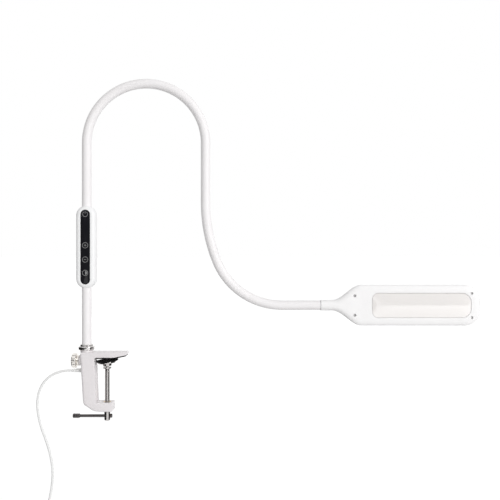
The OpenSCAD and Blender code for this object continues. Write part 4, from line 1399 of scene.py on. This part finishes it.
def board_parts():
    """Terminals with their screws, coil, capacitor and chips with legs on the control board."""
    face = span("control_board", "y")[1]
    leg_pitch = 1.27
    made = []
    for z in (25 - BOX_H / 2, BOX_H / 2 - 25):
        made.append(block(0, z, 10, 10, face, face + 9.2, 0.6))
        made += [can(x, z, 1.9, face + 9.0, face + 10.0) for x in (-2.5, 2.5)]
    made += [can(0, TOUCH_Z["plus"] + up, radius, face, face + 5) for up, radius in ((15, 4.5), (3, 3.5))]
    for up, wide, high in ((13, 8, 12), (-6, 6, 6)):
        z = TOUCH_Z["minus"] + up
        made.append(block(0, z, wide - 1.6, high, face + 0.15, face + 1.5, 0.2))
        legs = [z - high / 2 + leg_pitch * (i + 1) for i in range(int(high / leg_pitch) - 1)]
        made += [block(x, leg, 1.0, 0.45, face, face + 0.5, 0.1)
                 for x in (0.5 - wide / 2, wide / 2 - 0.5) for leg in legs]
    finished(joined(*made), "board_part_set", "parts_dark", "board_parts")


# ---------- floor and light ----------

class Backdrop(Tree):
    """The emptied node tree of a material or a world."""

    def __init__(self, owner):
        owner.use_nodes = True
        super().__init__(owner.node_tree)
        self.tree.nodes.clear()

    def matt(self, shade):
        return self.node("ShaderNodeBsdfDiffuse", {}, {"Color": (shade, shade, shade, 1)})

    def split(self, plain, seen):
        """A shader that looks seen to camera, glossy and transmission rays and plain to the rest."""
        camera, glossy, clear = (self.node("ShaderNodeLightPath", out=f"Is {name} Ray")
                                 for name in ("Camera", "Glossy", "Transmission"))
        share = camera.at_least(glossy).at_least(clear)
        return self.node("ShaderNodeMixShader", {}, {0: share, 1: plain, 2: seen})


def sheet(name, corners, material):
    mesh = bpy.data.meshes.new(name)
    mesh.from_pydata(corners, [], [tuple(range(len(corners)))])
    mesh.materials.append(material)
    return loose(mesh, name)


def lay_floor():
    """Pale floor that looks white where no shadow falls, and brighter far away."""
    material = bpy.data.materials.new("floor_white")
    floor = Backdrop(material)
    place = floor.node("ShaderNodeTexCoord", out="Object")
    far = floor.node("ShaderNodeVectorMath", {"operation": "LENGTH"}, {0: place}, "Value")
    glow = floor.node("ShaderNodeEmission", {}, {
        "Color": (1, 1, 1, 1), "Strength": 0.82 + (far * 0.3).at_most(1.0) * 0.10
    })
    seen = floor.node("ShaderNodeAddShader", {}, {0: floor.matt(0.25), 1: glow})
    floor.node("ShaderNodeOutputMaterial", {}, {0: floor.split(floor.matt(0.66), seen)})
    size, drop, corners = 60.0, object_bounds()[0].z - 4 * MM, 96
    sheet("floor", [(size * cos(a), size * sin(a), drop)
                             for a in (2 * pi * j / corners for j in range(corners))], material)


def light_sky():
    world = bpy.data.worlds.new("studio")
    bpy.context.scene.world = world
    sky = Backdrop(world)
    plain, seen = (sky.node("ShaderNodeBackground", {}, {"Color": (1, 1, 1, 1), "Strength": strength})
                   for strength in (0.54, 1.0))
    sky.node("ShaderNodeOutputWorld", {}, {0: sky.split(plain, seen)})


def lamp(name, place, target, wide, high, power, mirrored=True):
    data = bpy.data.lights.new(name, "AREA")
    data.shape, data.size, data.size_y, data.energy = "RECTANGLE", wide, high, power
    light = bpy.data.objects.new(name, data)
    light.location = place
    light.rotation_euler = (Vector(target) - Vector(place)).to_track_quat("-Z", "Y").to_euler()
    light.visible_glossy = mirrored
    bpy.context.scene.collection.objects.link(light)


def card(name, start, end, low, high, shade):
    """A grey upright card from start to end, off camera, that only shiny parts reflect."""
    material = bpy.data.materials.new(name)
    paper = Backdrop(material)
    paper.node("ShaderNodeOutputMaterial", {}, {0: paper.matt(shade)})
    thing = sheet(name, [(*start, low), (*end, low), (*end, high), (*start, high)], material)
    thing.visible_camera = thing.visible_diffuse = thing.visible_shadow = False


# ---------- everything together ----------

connector_piece = connector()
boot_piece = strain_relief()
lead.data.materials.append(finish["lead_white"].material)

paint_clamp()
ribbed_pad()
steel_cup()
thumb_screw()
tommy_bar()
lock_knob()
collar()
collar_nut()
sleeve_on_mast()
housing_shells()
panel()
icons()
box_screws()
touch_springs()
board_parts()
neck_sleeves()
neck_inside()
head_shells()
crowned_lens()
head_screws()
light_chips()

recoat("brass", "screw_bush", "lock_pad")
recoat("screw_steel", "thrust_washer")
recoat("steel", "connector_contact", "mast_pin", "mast_tube", "head_ferrule")
recoat("cable_grey", "mast_cable", "head_cable")
recoat("board_green", "control_board")
recoat("board_white", "led_board")
recoat("reflector_white", "reflector_frame")
recoat("heat_aluminium", "heat_plate")

light_sky()
lay_floor()
lamp("key", (3.9, -3.9, 1.75), (0.2, 0, 0.15), 2.6, 2.6, 163)
lamp("back", (0.3, 4.2, 1.5), (0.3, 0, 0.15), 2.6, 2.6, 40, False)
lamp("low_fill", (0.3, -1.7, -0.25), (0.3, 0, 0.1), 1.6, 0.4, 4.0, False)
card("lens_card", (0.55, -2.0), (1.9, -2.0), -0.07, 1.5, 0.0)
card("panel_card", (-1.3, -2.0), (0.4, -2.0), -0.3, 0.8, 0.0)
card("left_card", (-1.2, -1.0), (-1.2, 0.6), -0.37, 1.3, 0.1)
card("low_left_card", (-0.28, -0.75), (-0.28, 0.35), -0.37, 0.02, 0.02)
card("low_right_card", (0.3, -0.17), (0.3, 0.25), -0.37, 0.03, 0.05)
card("right_card", (1.9, -1.3), (1.9, 0.8), -0.37, 1.0, 0.03)

bpy.context.scene.view_settings.view_transform = "Standard"
